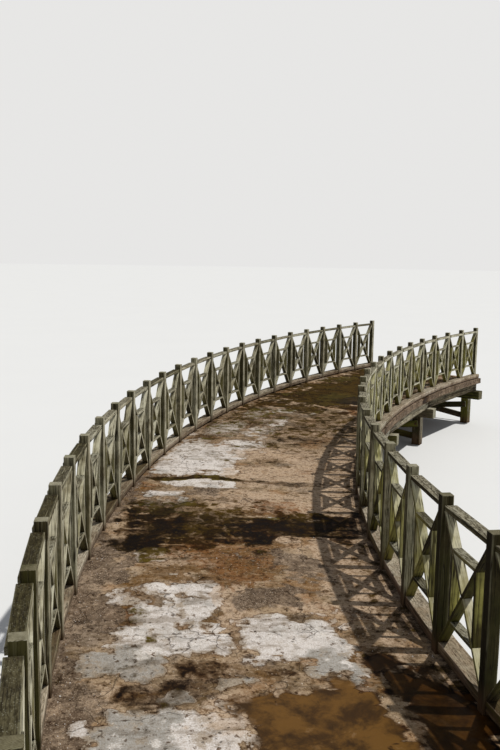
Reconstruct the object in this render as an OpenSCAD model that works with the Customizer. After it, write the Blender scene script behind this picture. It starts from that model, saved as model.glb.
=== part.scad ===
// Curved timber footbridge: a stone slab deck on timber bents, with a latticed railing on each edge.
// The path bends round a centre on the -Y side, so the +Y edge is the outer, convex one.
// The origin is the foot of the middle pile, X runs along the chord of the bridge and Z points up.

/* [Walkway] */

// Radius of the centre line of the path, in mm
walk_r = 20500; // [16000:100:40000]

// Clear width between the inner faces of the two rows of posts
clear_w = 2720; // [1600:10:3600]

// Angle at the centre of the curve taken up by one bay of the outer railing
bay_deg = 2.2; // [1.2:0.05:2.6]

/* [Posts] */

// Side of a square railing post
post_w = 90; // [70:1:140]

// Height of a post above the deck
post_h = 1200; // [900:10:1400]

// How far a post stands up above the top rail
head_h = 72; // [20:1:120]

// Width of the eased corners of a post
ease = 6; // [2:0.5:12]

/* [Railing] */

// Distance that the top rail, which is laid flat, reaches out past the outer face of the posts
rail_over = 22; // [0:1:60]

// Thickness of the top rail
rail_t = 42; // [25:1:70]

// Width of the eased long edges of the top rail
rail_ease = 5; // [1:0.5:12]

// Distance that rail, lattice and sill stand back from the inner face of the posts
set_back = 18; // [0:1:30]

// Distance that the lattice stands back from the outer face of the posts
lattice_back = 0; // [0:1:40]

// Face thickness of the lattice boards
lattice_t = 30; // [15:1:45]

// Place of the inner rectangle on the diagonals, as a part of the diagonal's length
rect_at = 0.23; // [0.12:0.01:0.4]

/* [Sill] */

// Distance that the sill beam at the foot of the railing reaches out past the outer face of the posts
sill_over = 78; // [45:1:150]

// Height of the sill beam
sill_h = 80; // [40:1:160]

// Width of the eased long edges of the sill beam
sill_ease = 6; // [1:0.5:12]

// Height of the packers that lift the sill off the deck so that water drains away
packer_h = 20; // [8:1:50]

// Gap between a packer and its post, and between a packer and the outer edge of the sill
packer_in = 8; // [7:0.5:20]

// Gap between neighbouring sill beams at a post
sill_joint = 3; // [1:0.5:10]

/* [Deck] */

// Thickness of the deck slabs
slab_t = 120; // [80:5:250]

// Gap between two neighbouring deck slabs
slab_joint = 12; // [4:1:40]

// Distance from the centre of an end post to the end of the deck
end_margin = 120; // [105:5:400]

// Distance that the deck reaches out past the sill
deck_lip = 20; // [6:1:80]

/* [Supports] */

// Width of a bearer, the beam that runs from bent to bent
bearer_w = 120; // [80:5:240]

// Height of a bearer
bearer_h = 180; // [120:5:320]

// Gap between the ends of two bearers on a bent
bearer_joint = 8; // [2:1:30]

// Distance that the bearers stop short of the end of the deck
bearer_short = 15; // [5:1:60]

// Width of the cap beam on top of a bent
cap_w = 200; // [160:5:360]

// Height of the cap beam
cap_h = 200; // [140:5:360]

// Distance that a cap beam reaches out past the deck
cap_lip = 60; // [0:5:300]

// Side of a square pile
pile_w = 180; // [140:5:320]

// Height of a pile from its foot to the cap beam
pile_h = 600; // [500:10:3000]

// Distance between the piles of a bent
pile_gap = 1250; // [700:10:1500]

// Width of a brace board
brace_w = 140; // [80:5:180]

// Thickness of a brace board
brace_t = 40; // [20:1:80]

// Height of the lower end of a brace above the foot of its pile
brace_low = 130; // [90:5:400]

// Rise of a brace from its lower to its upper end
brace_rise = 330; // [100:5:360]

/* [Hidden] */

span_count = 6;
outer_per_span = 4;
inner_bays = 21;
inner_per_set = 3;
bearer_lines = 4;
piles_per_bent = 3;

outer_bays = span_count * outer_per_span;
arc_deg = outer_bays * bay_deg;
inner_deg = arc_deg / inner_bays;
span_deg = outer_per_span * bay_deg;
start_deg = -arc_deg / 2;

outer_r = walk_r + clear_w / 2 + post_w / 2;
inner_r = walk_r - clear_w / 2 - post_w / 2;
outer_len = 2 * outer_r * sin(bay_deg / 2);
inner_len = 2 * inner_r * sin(inner_deg / 2);

cap_z = pile_h;
bearer_z = cap_z + cap_h;
slab_z = bearer_z + bearer_h;
deck_z = slab_z + slab_t;
sill_z = deck_z + packer_h;
lattice_z = sill_z + sill_h;
rail_z = deck_z + post_h - head_h - rail_t;
lattice_h = rail_z - lattice_z;

in_y = set_back - post_w / 2;
lattice_d = post_w - set_back - lattice_back;
rail_w = post_w - set_back + rail_over;
sill_w = post_w - set_back + sill_over;
edge_out = post_w / 2 + sill_over + deck_lip;
deck_outer_r = outer_r + edge_out;
deck_inner_r = inner_r - edge_out;
packer_w = sill_over - 2 * packer_in;
bearer_skew = bearer_w / 2 * tan(span_deg / 2);

weathered = [0.62, 0.59, 0.50];
greyed = [0.66, 0.65, 0.62];
damp = [0.45, 0.40, 0.32];
slab_grey = [0.70, 0.67, 0.65];

// Point of the plan at a radius and an angle from the middle of the bridge
function plan_at(r, a) = [r * sin(a), r * cos(a) - walk_r];

// Half length of a bay at the face of its posts; the bay opens outward by side * tan(half angle)
function face_x(len, half, side, y) = len / 2 - post_w / 2 / cos(half) + side * y * tan(half);

// Half length of a bay at the centre line of its posts, less a cut and plus an end piece
function mid_x(len, half, side, y, more) = len / 2 + side * y * tan(half) + more;

// Puts a part at a radius and an angle, with its Y pointing outward, away from the path
module place(r, a, side) {
    p = plan_at(r, a);
    translate([p[0], p[1], 0])
        rotate([0, 0, side > 0 ? -a : 180 - a])
            children();
}

// Puts a part at the middle of a bay of the outer row
module outer_bay(i) {
    place(outer_r * cos(bay_deg / 2), start_deg + (i + 0.5) * bay_deg, 1)
        children();
}

// Puts a part at the middle of a bay of the inner row
module inner_bay(i) {
    place(inner_r * cos(inner_deg / 2), start_deg + (i + 0.5) * inner_deg, -1)
        children();
}

// A prism over the plan of a bay between its two posts
module bay_prism(len, half, side, y0, y1, z0, h) {
    a = face_x(len, half, side, y0);
    b = face_x(len, half, side, y1);
    translate([0, 0, z0])
        linear_extrude(h)
            polygon([[-a, y0], [a, y0], [b, y1], [-b, y1]]);
}

// A long bar with eased edges that is wider than any bay, to be cut to a bay's plan
module eased_bar(y0, y1, z0, h, e) {
    reach = outer_len + 2 * post_w;
    translate([-reach / 2, 0, z0])
        rotate([90, 0, 90])
            linear_extrude(reach)
                polygon([
                    [y0 + e, 0], [y1 - e, 0], [y1, e], [y1, h - e],
                    [y1 - e, h], [y0 + e, h], [y0, h - e], [y0, e]
                ]);
}

// A board of the lattice, centred on a point of the bay and turned in the plane of the railing
module slat(len, x, z, turn) {
    translate([x, in_y + lattice_d / 2, z])
        rotate([0, -turn, 0])
            cube([len, lattice_d, lattice_t], center = true);
}

// The lattice of one bay: two full diagonals and the rectangle whose corners lie on them
module lattice(len, half, side) {
    w = len / 2 - post_w / 2;
    mid = lattice_z + lattice_h / 2;
    lean = atan2(lattice_h, 2 * w);
    long = norm([2 * w, lattice_h]) + 2 * lattice_t;
    rx = w * (1 - 2 * rect_at);
    rz = lattice_h / 2 * (1 - 2 * rect_at);
    intersection() {
        bay_prism(len, half, side, in_y, in_y + lattice_d, lattice_z, lattice_h);
        union() {
            slat(long, 0, mid, lean);
            slat(long, 0, mid, -lean);
            for (s = [-1, 1]) {
                slat(2 * rx, 0, mid + s * rz, 0);
                slat(2 * rz, s * rx, mid, 90);
            }
        }
    }
}

// One top rail, cut at both ends to the faces of its posts
module top_rail(len, half, side) {
    intersection() {
        bay_prism(len, half, side, in_y, in_y + rail_w, rail_z, rail_t);
        eased_bar(in_y, in_y + rail_w, rail_z, rail_t, rail_ease);
    }
}

// One sill beam: between the posts at its inner side, past them to the next beam at its outer side
module sill(len, half, side, more_a, more_b) {
    y0 = in_y;
    y1 = post_w / 2;
    y2 = in_y + sill_w;
    f0 = face_x(len, half, side, y0);
    f1 = face_x(len, half, side, y1);
    a1 = mid_x(len, half, side, y1, more_a);
    a2 = mid_x(len, half, side, y2, more_a);
    b1 = mid_x(len, half, side, y1, more_b);
    b2 = mid_x(len, half, side, y2, more_b);
    intersection() {
        translate([0, 0, sill_z])
            linear_extrude(sill_h)
                polygon([
                    [-f0, y0], [f0, y0], [f1, y1], [b1, y1],
                    [b2, y2], [-a2, y2], [-a1, y1], [-f1, y1]
                ]);
        eased_bar(y0, y2, sill_z, sill_h, sill_ease);
    }
}

// Outline of a post with eased corners
module post_plan() {
    h = post_w / 2;
    e = h - ease;
    polygon([
        [-e, -h], [e, -h], [h, -e], [h, e],
        [e, h], [-e, h], [-h, e], [-h, -e]
    ]);
}

// Side view of a post with an eased head
module post_side() {
    h = post_w / 2;
    polygon([
        [-h, 0], [h, 0], [h, post_h - ease],
        [h - ease, post_h], [ease - h, post_h], [-h, post_h - ease]
    ]);
}

// One railing post
module post() {
    translate([0, 0, deck_z])
        intersection() {
            linear_extrude(post_h) post_plan();
            rotate([90, 0, 0])
                translate([0, 0, -post_w])
                    linear_extrude(2 * post_w) post_side();
            rotate([90, 0, 90])
                translate([0, 0, -post_w])
                    linear_extrude(2 * post_w) post_side();
        }
}

// Block under the sill behind a post
module packer() {
    translate([-post_w / 2, post_w / 2 + packer_in, deck_z])
        cube([post_w, packer_w, packer_h]);
}

// One deck slab, its long edges broken at every outer post
module deck_slab(i) {
    a0 = start_deg + i * span_deg;
    cut = slab_joint / 2 / walk_r * 180 / PI;
    tail = end_margin / walk_r * 180 / PI;
    first = a0 + (i == 0 ? -tail : cut);
    last = a0 + span_deg + (i == span_count - 1 ? tail : -cut);
    middle = [for (k = [1:outer_per_span - 1]) a0 + k * bay_deg];
    steps = concat([first], middle, [last]);
    color(slab_grey)
        translate([0, 0, slab_z])
            linear_extrude(slab_t)
                polygon(concat(
                    [for (k = [0:outer_per_span]) plan_at(deck_outer_r, steps[k])],
                    [for (k = [outer_per_span:-1:0]) plan_at(deck_inner_r, steps[k])]
                ));
}

// The four lattices of a span in the outer railing
module outer_lattice(i) {
    color(weathered)
        for (k = [0:outer_per_span - 1])
            outer_bay(i * outer_per_span + k) lattice(outer_len, bay_deg / 2, 1);
}

// Three neighbouring lattices of the inner railing
module inner_lattice(i) {
    color(weathered)
        for (k = [0:inner_per_set - 1])
            inner_bay(i * inner_per_set + k) lattice(inner_len, inner_deg / 2, -1);
}

// All posts of the outer railing
module outer_posts() {
    color(weathered)
        for (i = [0:outer_bays])
            place(outer_r, start_deg + i * bay_deg, 1) post();
}

// All posts of the inner railing
module inner_posts() {
    color(weathered)
        for (i = [0:inner_bays])
            place(inner_r, start_deg + i * inner_deg, -1) post();
}

// All top rails of the outer railing
module outer_top_rails() {
    color(greyed)
        for (i = [0:outer_bays - 1])
            outer_bay(i) top_rail(outer_len, bay_deg / 2, 1);
}

// All top rails of the inner railing
module inner_top_rails() {
    color(greyed)
        for (i = [0:inner_bays - 1])
            inner_bay(i) top_rail(inner_len, inner_deg / 2, -1);
}

// All sill beams of the outer railing; the two end beams run on to the end of their post
module outer_sills() {
    color(damp)
        for (i = [0:outer_bays - 1])
            outer_bay(i)
                sill(outer_len, bay_deg / 2, 1,
                    i == 0 ? post_w / 2 : -sill_joint / 2,
                    i == outer_bays - 1 ? post_w / 2 : -sill_joint / 2);
}

// All sill beams of the inner railing; the row is turned round, so its two ends change places
module inner_sills() {
    color(damp)
        for (i = [0:inner_bays - 1])
            inner_bay(i)
                sill(inner_len, inner_deg / 2, -1,
                    i == inner_bays - 1 ? post_w / 2 : -sill_joint / 2,
                    i == 0 ? post_w / 2 : -sill_joint / 2);
}

// Packers behind the posts of the outer railing
module outer_packers() {
    color(damp)
        for (i = [0:outer_bays])
            place(outer_r, start_deg + i * bay_deg, 1) packer();
}

// Packers behind the posts of the inner railing
module inner_packers() {
    color(damp)
        for (i = [0:inner_bays])
            place(inner_r, start_deg + i * inner_deg, -1) packer();
}

// Bearers under the deck, straight from bent to bent; the end ones run on to just short of the deck's end
module bearers() {
    color(damp)
        for (i = [0:span_count - 1])
            for (j = [0:bearer_lines - 1]) {
                r = inner_r + (outer_r - inner_r) * j / (bearer_lines - 1);
                half = r * sin(span_deg / 2);
                stop = -bearer_joint / 2 - bearer_skew;
                run_on = end_margin * r / walk_r - bearer_short - bearer_skew;
                x0 = -half - (i == 0 ? run_on : stop);
                x1 = half + (i == span_count - 1 ? run_on : stop);
                place(r * cos(span_deg / 2), start_deg + (i + 0.5) * span_deg, 1)
                    translate([x0, -bearer_w / 2, bearer_z])
                        cube([x1 - x0, bearer_w, bearer_h]);
            }
}

// Cap beam of one bent
module cap_beam(i) {
    length = deck_outer_r - deck_inner_r + 2 * cap_lip;
    color(damp)
        place((deck_outer_r + deck_inner_r) / 2, start_deg + i * span_deg, 1)
            translate([-cap_w / 2, -length / 2, cap_z])
                cube([cap_w, length, cap_h]);
}

// Piles of one bent
module piles(i) {
    color(damp)
        place(walk_r, start_deg + i * span_deg, 1)
            for (k = [0:piles_per_bent - 1])
                translate([-pile_w / 2, (k - 1) * pile_gap - pile_w / 2, 0])
                    cube([pile_w, pile_w, pile_h]);
}

// Two brace boards on every bent, one on each face, leaning opposite ways
module cross_braces() {
    run = 2 * pile_gap;
    lean = atan2(brace_rise, run);
    length = norm([run, brace_rise]) + pile_w / 2;
    color(damp)
        for (i = [0:span_count])
            place(walk_r, start_deg + i * span_deg, 1)
                for (s = [-1, 1])
                    translate([s * (pile_w + brace_t) / 2, 0, brace_low + brace_rise / 2])
                        rotate([s * lean, 0, 0])
                            cube([brace_t, length, brace_w], center = true);
}

deck_slab(0);  // deck_slab_1
deck_slab(1);  // deck_slab_2
deck_slab(2);  // deck_slab_3
deck_slab(3);  // deck_slab_4
deck_slab(4);  // deck_slab_5
deck_slab(5);  // deck_slab_6
outer_lattice(0);  // outer_lattice_1
outer_lattice(1);  // outer_lattice_2
outer_lattice(2);  // outer_lattice_3
outer_lattice(3);  // outer_lattice_4
outer_lattice(4);  // outer_lattice_5
outer_lattice(5);  // outer_lattice_6
inner_lattice(0);  // inner_lattice_1
inner_lattice(1);  // inner_lattice_2
inner_lattice(2);  // inner_lattice_3
inner_lattice(3);  // inner_lattice_4
inner_lattice(4);  // inner_lattice_5
inner_lattice(5);  // inner_lattice_6
inner_lattice(6);  // inner_lattice_7
outer_posts();
inner_posts();
outer_top_rails();
inner_top_rails();
outer_sills();
inner_sills();
outer_packers();
inner_packers();
bearers();
cross_braces();
cap_beam(0);  // cap_beam_1
cap_beam(1);  // cap_beam_2
cap_beam(2);  // cap_beam_3
cap_beam(3);  // cap_beam_4
cap_beam(4);  // cap_beam_5
cap_beam(5);  // cap_beam_6
cap_beam(6);  // cap_beam_7
piles(0);  // piles_1
piles(1);  // piles_2
piles(2);  // piles_3
piles(3);  // piles_4
piles(4);  // piles_5
piles(5);  // piles_6
piles(6);  // piles_7
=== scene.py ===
"""Looks of a curved footbridge: weathered timber railings on a deck of worn stone slabs, on timber bents."""

from __future__ import annotations

import itertools
import logging
import math
import random
from dataclasses import dataclass, field
from enum import Enum
from typing import Callable, Iterable, Mapping, Sequence, Union

import bpy
import numpy as np
from mathutils import Matrix, Vector


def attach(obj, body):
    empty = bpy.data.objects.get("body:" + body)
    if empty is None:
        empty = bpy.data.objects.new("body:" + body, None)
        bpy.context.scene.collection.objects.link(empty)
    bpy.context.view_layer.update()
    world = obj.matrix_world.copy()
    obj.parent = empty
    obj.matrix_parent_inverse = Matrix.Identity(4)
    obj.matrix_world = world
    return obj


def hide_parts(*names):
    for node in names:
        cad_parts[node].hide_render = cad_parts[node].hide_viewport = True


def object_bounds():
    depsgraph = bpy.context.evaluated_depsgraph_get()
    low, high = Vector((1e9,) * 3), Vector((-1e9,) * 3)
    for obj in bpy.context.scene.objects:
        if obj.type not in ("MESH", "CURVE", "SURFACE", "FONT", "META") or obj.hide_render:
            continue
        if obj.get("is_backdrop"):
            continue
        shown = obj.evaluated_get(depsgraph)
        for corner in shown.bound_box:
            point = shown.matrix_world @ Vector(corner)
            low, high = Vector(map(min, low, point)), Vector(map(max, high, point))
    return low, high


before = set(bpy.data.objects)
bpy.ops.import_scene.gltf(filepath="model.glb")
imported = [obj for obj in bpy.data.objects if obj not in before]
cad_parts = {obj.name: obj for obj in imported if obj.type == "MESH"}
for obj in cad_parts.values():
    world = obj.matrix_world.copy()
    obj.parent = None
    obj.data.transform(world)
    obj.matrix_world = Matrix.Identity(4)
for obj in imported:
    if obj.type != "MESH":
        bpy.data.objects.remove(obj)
CAD_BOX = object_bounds()

LOG = logging.getLogger("footbridge")
BODY = "root"
MM = 0.001

Array = np.ndarray
Socket = bpy.types.NodeSocket
Colour = tuple[float, float, float]
Span = tuple[float, float]
Number = Union[float, "Value"]


def srgb(red: int, green: int, blue: int) -> Colour:
    """Turns a colour written in display values from 0 to 255 into linear light."""
    return tuple(_linear(channel / 255) for channel in (red, green, blue))


def _linear(channel: float) -> float:
    """Turns one display channel from 0 to 1 into linear light."""
    return channel / 12.92 if channel <= 0.04045 else ((channel + 0.055) / 1.055) ** 2.4


class Relief:
    """Smooth seeded noise over arrays of points, for shapes that are worn by hand and weather."""

    @staticmethod
    def _hash(x: Array, y: Array, z: Array, seed: int) -> Array:
        """Gives each whole-number point of a lattice a value from -1 to 1.

        Args:
            x, y, z: Whole-number coordinates.
            seed: Which noise.

        Returns:
            The values.
        """
        code = (x * 73856093) ^ (y * 19349663) ^ (z * 83492791) ^ (seed * 374761393)
        code &= 0xFFFFFFFF
        code = ((code ^ (code >> 15)) * 739982445) & 0xFFFFFFFF
        code = ((code ^ (code >> 12)) * 695872825) & 0xFFFFFFFF
        return (code ^ (code >> 15)) / 2147483647.5 - 1

    @classmethod
    def plain(cls, x: Array, y: Array, z: Array, seed: int) -> Array:
        """One octave of noise.

        Args:
            x, y, z: Coordinates in lattice cells, arrays that broadcast together.
            seed: Which noise.

        Returns:
            Values from -1 to 1.
        """
        x, y, z = np.broadcast_arrays(x, y, z)
        whole = [np.floor(c).astype(np.int64) for c in (x, y, z)]
        part = [c - w for c, w in zip((x, y, z), whole)]
        fade = [p * p * p * (p * (p * 6 - 15) + 10) for p in part]
        total = np.zeros(x.shape)
        for corner in itertools.product((0, 1), repeat=3):
            weight = math.prod(f if c else 1 - f for c, f in zip(corner, fade))
            total += weight * cls._hash(*(w + c for w, c in zip(whole, corner)), seed)
        return total

    @classmethod
    def rough(cls, x: Array, y: Array, z: Array, seed: int, octaves: int = 3) -> Array:
        """Several octaves of noise, each half as strong and twice as fine.

        Args:
            x, y, z: Coordinates in cells of the coarsest octave.
            seed: Which noise.
            octaves: How many layers.

        Returns:
            Values mostly from -1 to 1.
        """
        total, strength, scale = 0.0, 1.0, 1.0
        for k in range(octaves):
            total = total + strength * cls.plain(x * scale, y * scale, z * scale, seed + 17 * k)
            strength *= 0.5
            scale *= 2.03
        return total / 1.4

    @staticmethod
    def step(low: float, high: float, value: Array) -> Array:
        """Smooth step from 0 at low to 1 at high."""
        t = np.clip((value - low) / (high - low), 0, 1)
        return t * t * (3 - 2 * t)


class Wire:
    """A socket that carries what other nodes read."""

    def __init__(self, graph: Graph, socket: Socket | Colour) -> None:
        """Keeps the graph and the socket, or the plain colour that a coat starts from."""
        self.graph = graph
        self.socket = socket


class Value(Wire):
    """A socket that carries a number, with arithmetic that adds Math nodes."""

    def _math(self, operation: str, *terms: Number, clamp: bool = False) -> Value:
        """Adds one Math node.

        Args:
            operation: The node's operation.
            terms: Its inputs in order, numbers or values.
            clamp: Whether the result is held to 0 to 1.

        Returns:
            The result.
        """
        settings = {"operation": operation, "use_clamp": clamp}
        node = self.graph.add("ShaderNodeMath", settings, dict(enumerate(terms)))
        return Value(self.graph, node.outputs[0])

    def __add__(self, other: Number) -> Value:
        """Sum."""
        return self._math("ADD", self, other)

    def __radd__(self, other: Number) -> Value:
        """Sum with a number on the left."""
        return self._math("ADD", other, self)

    def __sub__(self, other: Number) -> Value:
        """Difference."""
        return self._math("SUBTRACT", self, other)

    def __rsub__(self, other: Number) -> Value:
        """Difference from a number on the left."""
        return self._math("SUBTRACT", other, self)

    def __mul__(self, other: Number) -> Value:
        """Product."""
        return self._math("MULTIPLY", self, other)

    def __rmul__(self, other: Number) -> Value:
        """Product with a number on the left."""
        return self._math("MULTIPLY", other, self)

    def __abs__(self) -> Value:
        """Distance from zero."""
        return self._math("ABSOLUTE", self)

    def clamped(self) -> Value:
        """The value held to 0 to 1."""
        return self._math("ADD", self, 0.0, clamp=True)

    def most(self, other: Number) -> Value:
        """The larger of two values."""
        return self._math("MAXIMUM", self, other)

    def ridge(self) -> Value:
        """1 where a noise passes its middle and 0 at its ends."""
        return 1 - abs(self * 2 - 1)

    def between(self, low: float, high: float) -> Value:
        """Smooth step from 0 at low to 1 at high.

        Args:
            low: Where the result leaves 0.
            high: Where it reaches 1; it may lie under low, which turns the step round.

        Returns:
            The stepped value.
        """
        if low > high:
            return 1 - self.between(high, low)
        settings = {"interpolation_type": "SMOOTHSTEP"}
        sockets = {"Value": self, "From Min": low, "From Max": high}
        node = self.graph.add("ShaderNodeMapRange", settings, sockets)
        return Value(self.graph, node.outputs["Result"])


Link = Union[float, Sequence[float], Wire, Socket]
Look = tuple[Link, Link, Link]
Masks = Mapping[str, Value]


class Coat(Wire):
    """A colour that is built up coat by coat."""

    def _laid(self, kind: str, colour: Link, share: Number) -> Coat:
        """Adds one Mix node.

        Args:
            kind: How the colours are mixed.
            colour: What is laid on.
            share: How much of it.

        Returns:
            The new coat.
        """
        settings = {"data_type": "RGBA", "blend_type": kind}
        node = self.graph.add("ShaderNodeMix", settings, {0: share, 6: self.socket, 7: colour})
        return Coat(self.graph, node.outputs[2])

    def over(self, colour: Link, share: Number) -> Coat:
        """Covers a share of it with another colour."""
        return self._laid("MIX", colour, share)

    def tint(self, colour: Link, share: Number) -> Coat:
        """Multiplies it by another colour, by a share."""
        return self._laid("MULTIPLY", colour, share)


class Cell(Enum):
    """What the distance in a pattern of cells is measured to."""

    CENTRE = "F1"
    EDGE = "DISTANCE_TO_EDGE"


class Graph:
    """Builds the node tree of one material or of the world."""

    def __init__(self, tree: bpy.types.NodeTree) -> None:
        """Starts from an empty tree."""
        self.tree = tree
        tree.nodes.clear()

    def add(
        self, kind: str, settings: Mapping[str, object], sockets: Mapping[Union[str, int], Link]
    ) -> bpy.types.Node:
        """Adds any node: its settings first, then the values or links of its sockets.

        Args:
            kind: The node's type name.
            settings: Properties of the node.
            sockets: Inputs by name or number.

        Returns:
            The node.
        """
        node = self.tree.nodes.new(kind)
        for key, value in settings.items():
            setattr(node, key, value)
        for key, value in sockets.items():
            socket = node.inputs[key]
            source = value.socket if isinstance(value, Wire) else value
            if isinstance(source, Socket):
                self.tree.links.new(source, socket)
            elif isinstance(source, (int, float)):
                socket.default_value = source
            else:
                socket.default_value = [*source, 1.0][: len(socket.default_value)]
        return node

    def scaled(self, vector: Link, scale: Sequence[float], shift: Sequence[float] = (0, 0, 0)) -> Socket:
        """A vector times a scale for each axis, plus a shift.

        Args:
            vector: What is scaled.
            scale: Factor for each axis.
            shift: Added to the result.

        Returns:
            The vector socket.
        """
        settings = {"operation": "MULTIPLY_ADD"}
        node = self.add("ShaderNodeVectorMath", settings, {0: vector, 1: scale, 2: shift})
        return node.outputs[0]

    def moved(self, vector: Link, by: Link, amount: float) -> Socket:
        """A vector shifted by a colour's distance from mid grey.

        Args:
            vector: What is shifted.
            by: A noise colour.
            amount: Length of the largest shift.

        Returns:
            The vector socket.
        """
        centred = self.scaled(by, (amount,) * 3, (-amount / 2,) * 3)
        node = self.add("ShaderNodeVectorMath", {"operation": "ADD"}, {0: vector, 1: centred})
        return node.outputs[0]

    def noise(
        self, vector: Link, scale: float = 1.0, detail: float = 2.0, rough: float = 0.5,
        shift: Sequence[float] = (),
    ) -> Value:
        """Noise from 0 to 1.

        Args:
            vector: Where it is read.
            scale: Cells for each metre.
            detail: Octaves.
            rough: Strength of each finer octave.
            shift: Added to the vector, to get another noise in the same place.

        Returns:
            The noise value.
        """
        if shift:
            vector = self.scaled(vector, (1, 1, 1), shift)
        sockets = {"Vector": vector, "Scale": scale, "Detail": detail, "Roughness": rough}
        node = self.add("ShaderNodeTexNoise", {}, sockets)
        return Value(self, node.outputs["Fac"])

    def noise_colour(self, vector: Link, scale: float, detail: float = 1.0) -> Socket:
        """Noise with three separate channels, for shifting a vector."""
        node = self.add("ShaderNodeTexNoise", {}, {"Vector": vector, "Scale": scale, "Detail": detail})
        return node.outputs["Color"]

    def cells(self, vector: Link, scale: float, to: Cell = Cell.CENTRE) -> Value:
        """Distance to the nearest cell's centre or edge; the scale is how many cells a metre holds."""
        node = self.add("ShaderNodeTexVoronoi", {"feature": to.value}, {"Vector": vector, "Scale": scale})
        return Value(self, node.outputs["Distance"])

    def place(self) -> Socket:
        """Place in the part's own frame, in metres."""
        return self.add("ShaderNodeTexCoord", {}, {}).outputs["Object"]

    def attribute(self, name: str) -> bpy.types.Node:
        """Reads a value that the mesh carries."""
        return self.add("ShaderNodeAttribute", {"attribute_name": name}, {})

    def parts(self, vector: Link) -> tuple[Value, Value, Value]:
        """The three parts of a vector or colour."""
        node = self.add("ShaderNodeSeparateXYZ", {}, {0: vector})
        return tuple(Value(self, node.outputs[k]) for k in range(3))

    def bump(self, height: Value, distance: float, strength: float = 1.0) -> Socket:
        """A normal from a height of 0 to 1 that stands for a distance in metres."""
        node = self.add("ShaderNodeBump", {}, {"Strength": strength, "Distance": distance, "Height": height})
        return node.outputs["Normal"]


@dataclass(frozen=True)
class Finish:
    """What every finish shares: a name and a matt, weathered surface."""

    name: str
    specular: float = 0.15

    def material(self) -> bpy.types.Material:
        """Makes the material once and hands out the same one after that.

        Returns:
            The material.
        """
        found = bpy.data.materials.get(self.name)
        if found:
            return found
        made = bpy.data.materials.new(self.name)
        made.use_nodes = True
        graph = Graph(made.node_tree)
        colour, rough, normal = self.paint(graph)
        sockets = {"Base Color": colour, "Roughness": rough, "Specular IOR Level": self.specular}
        if normal is not None:
            sockets["Normal"] = normal
        shader = graph.add("ShaderNodeBsdfPrincipled", {}, sockets)
        graph.add("ShaderNodeOutputMaterial", {}, {"Surface": shader.outputs[0]})
        return made

    def paint(self, graph: Graph) -> Look:
        """Colour, roughness and normal of the surface."""
        raise NotImplementedError


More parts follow.
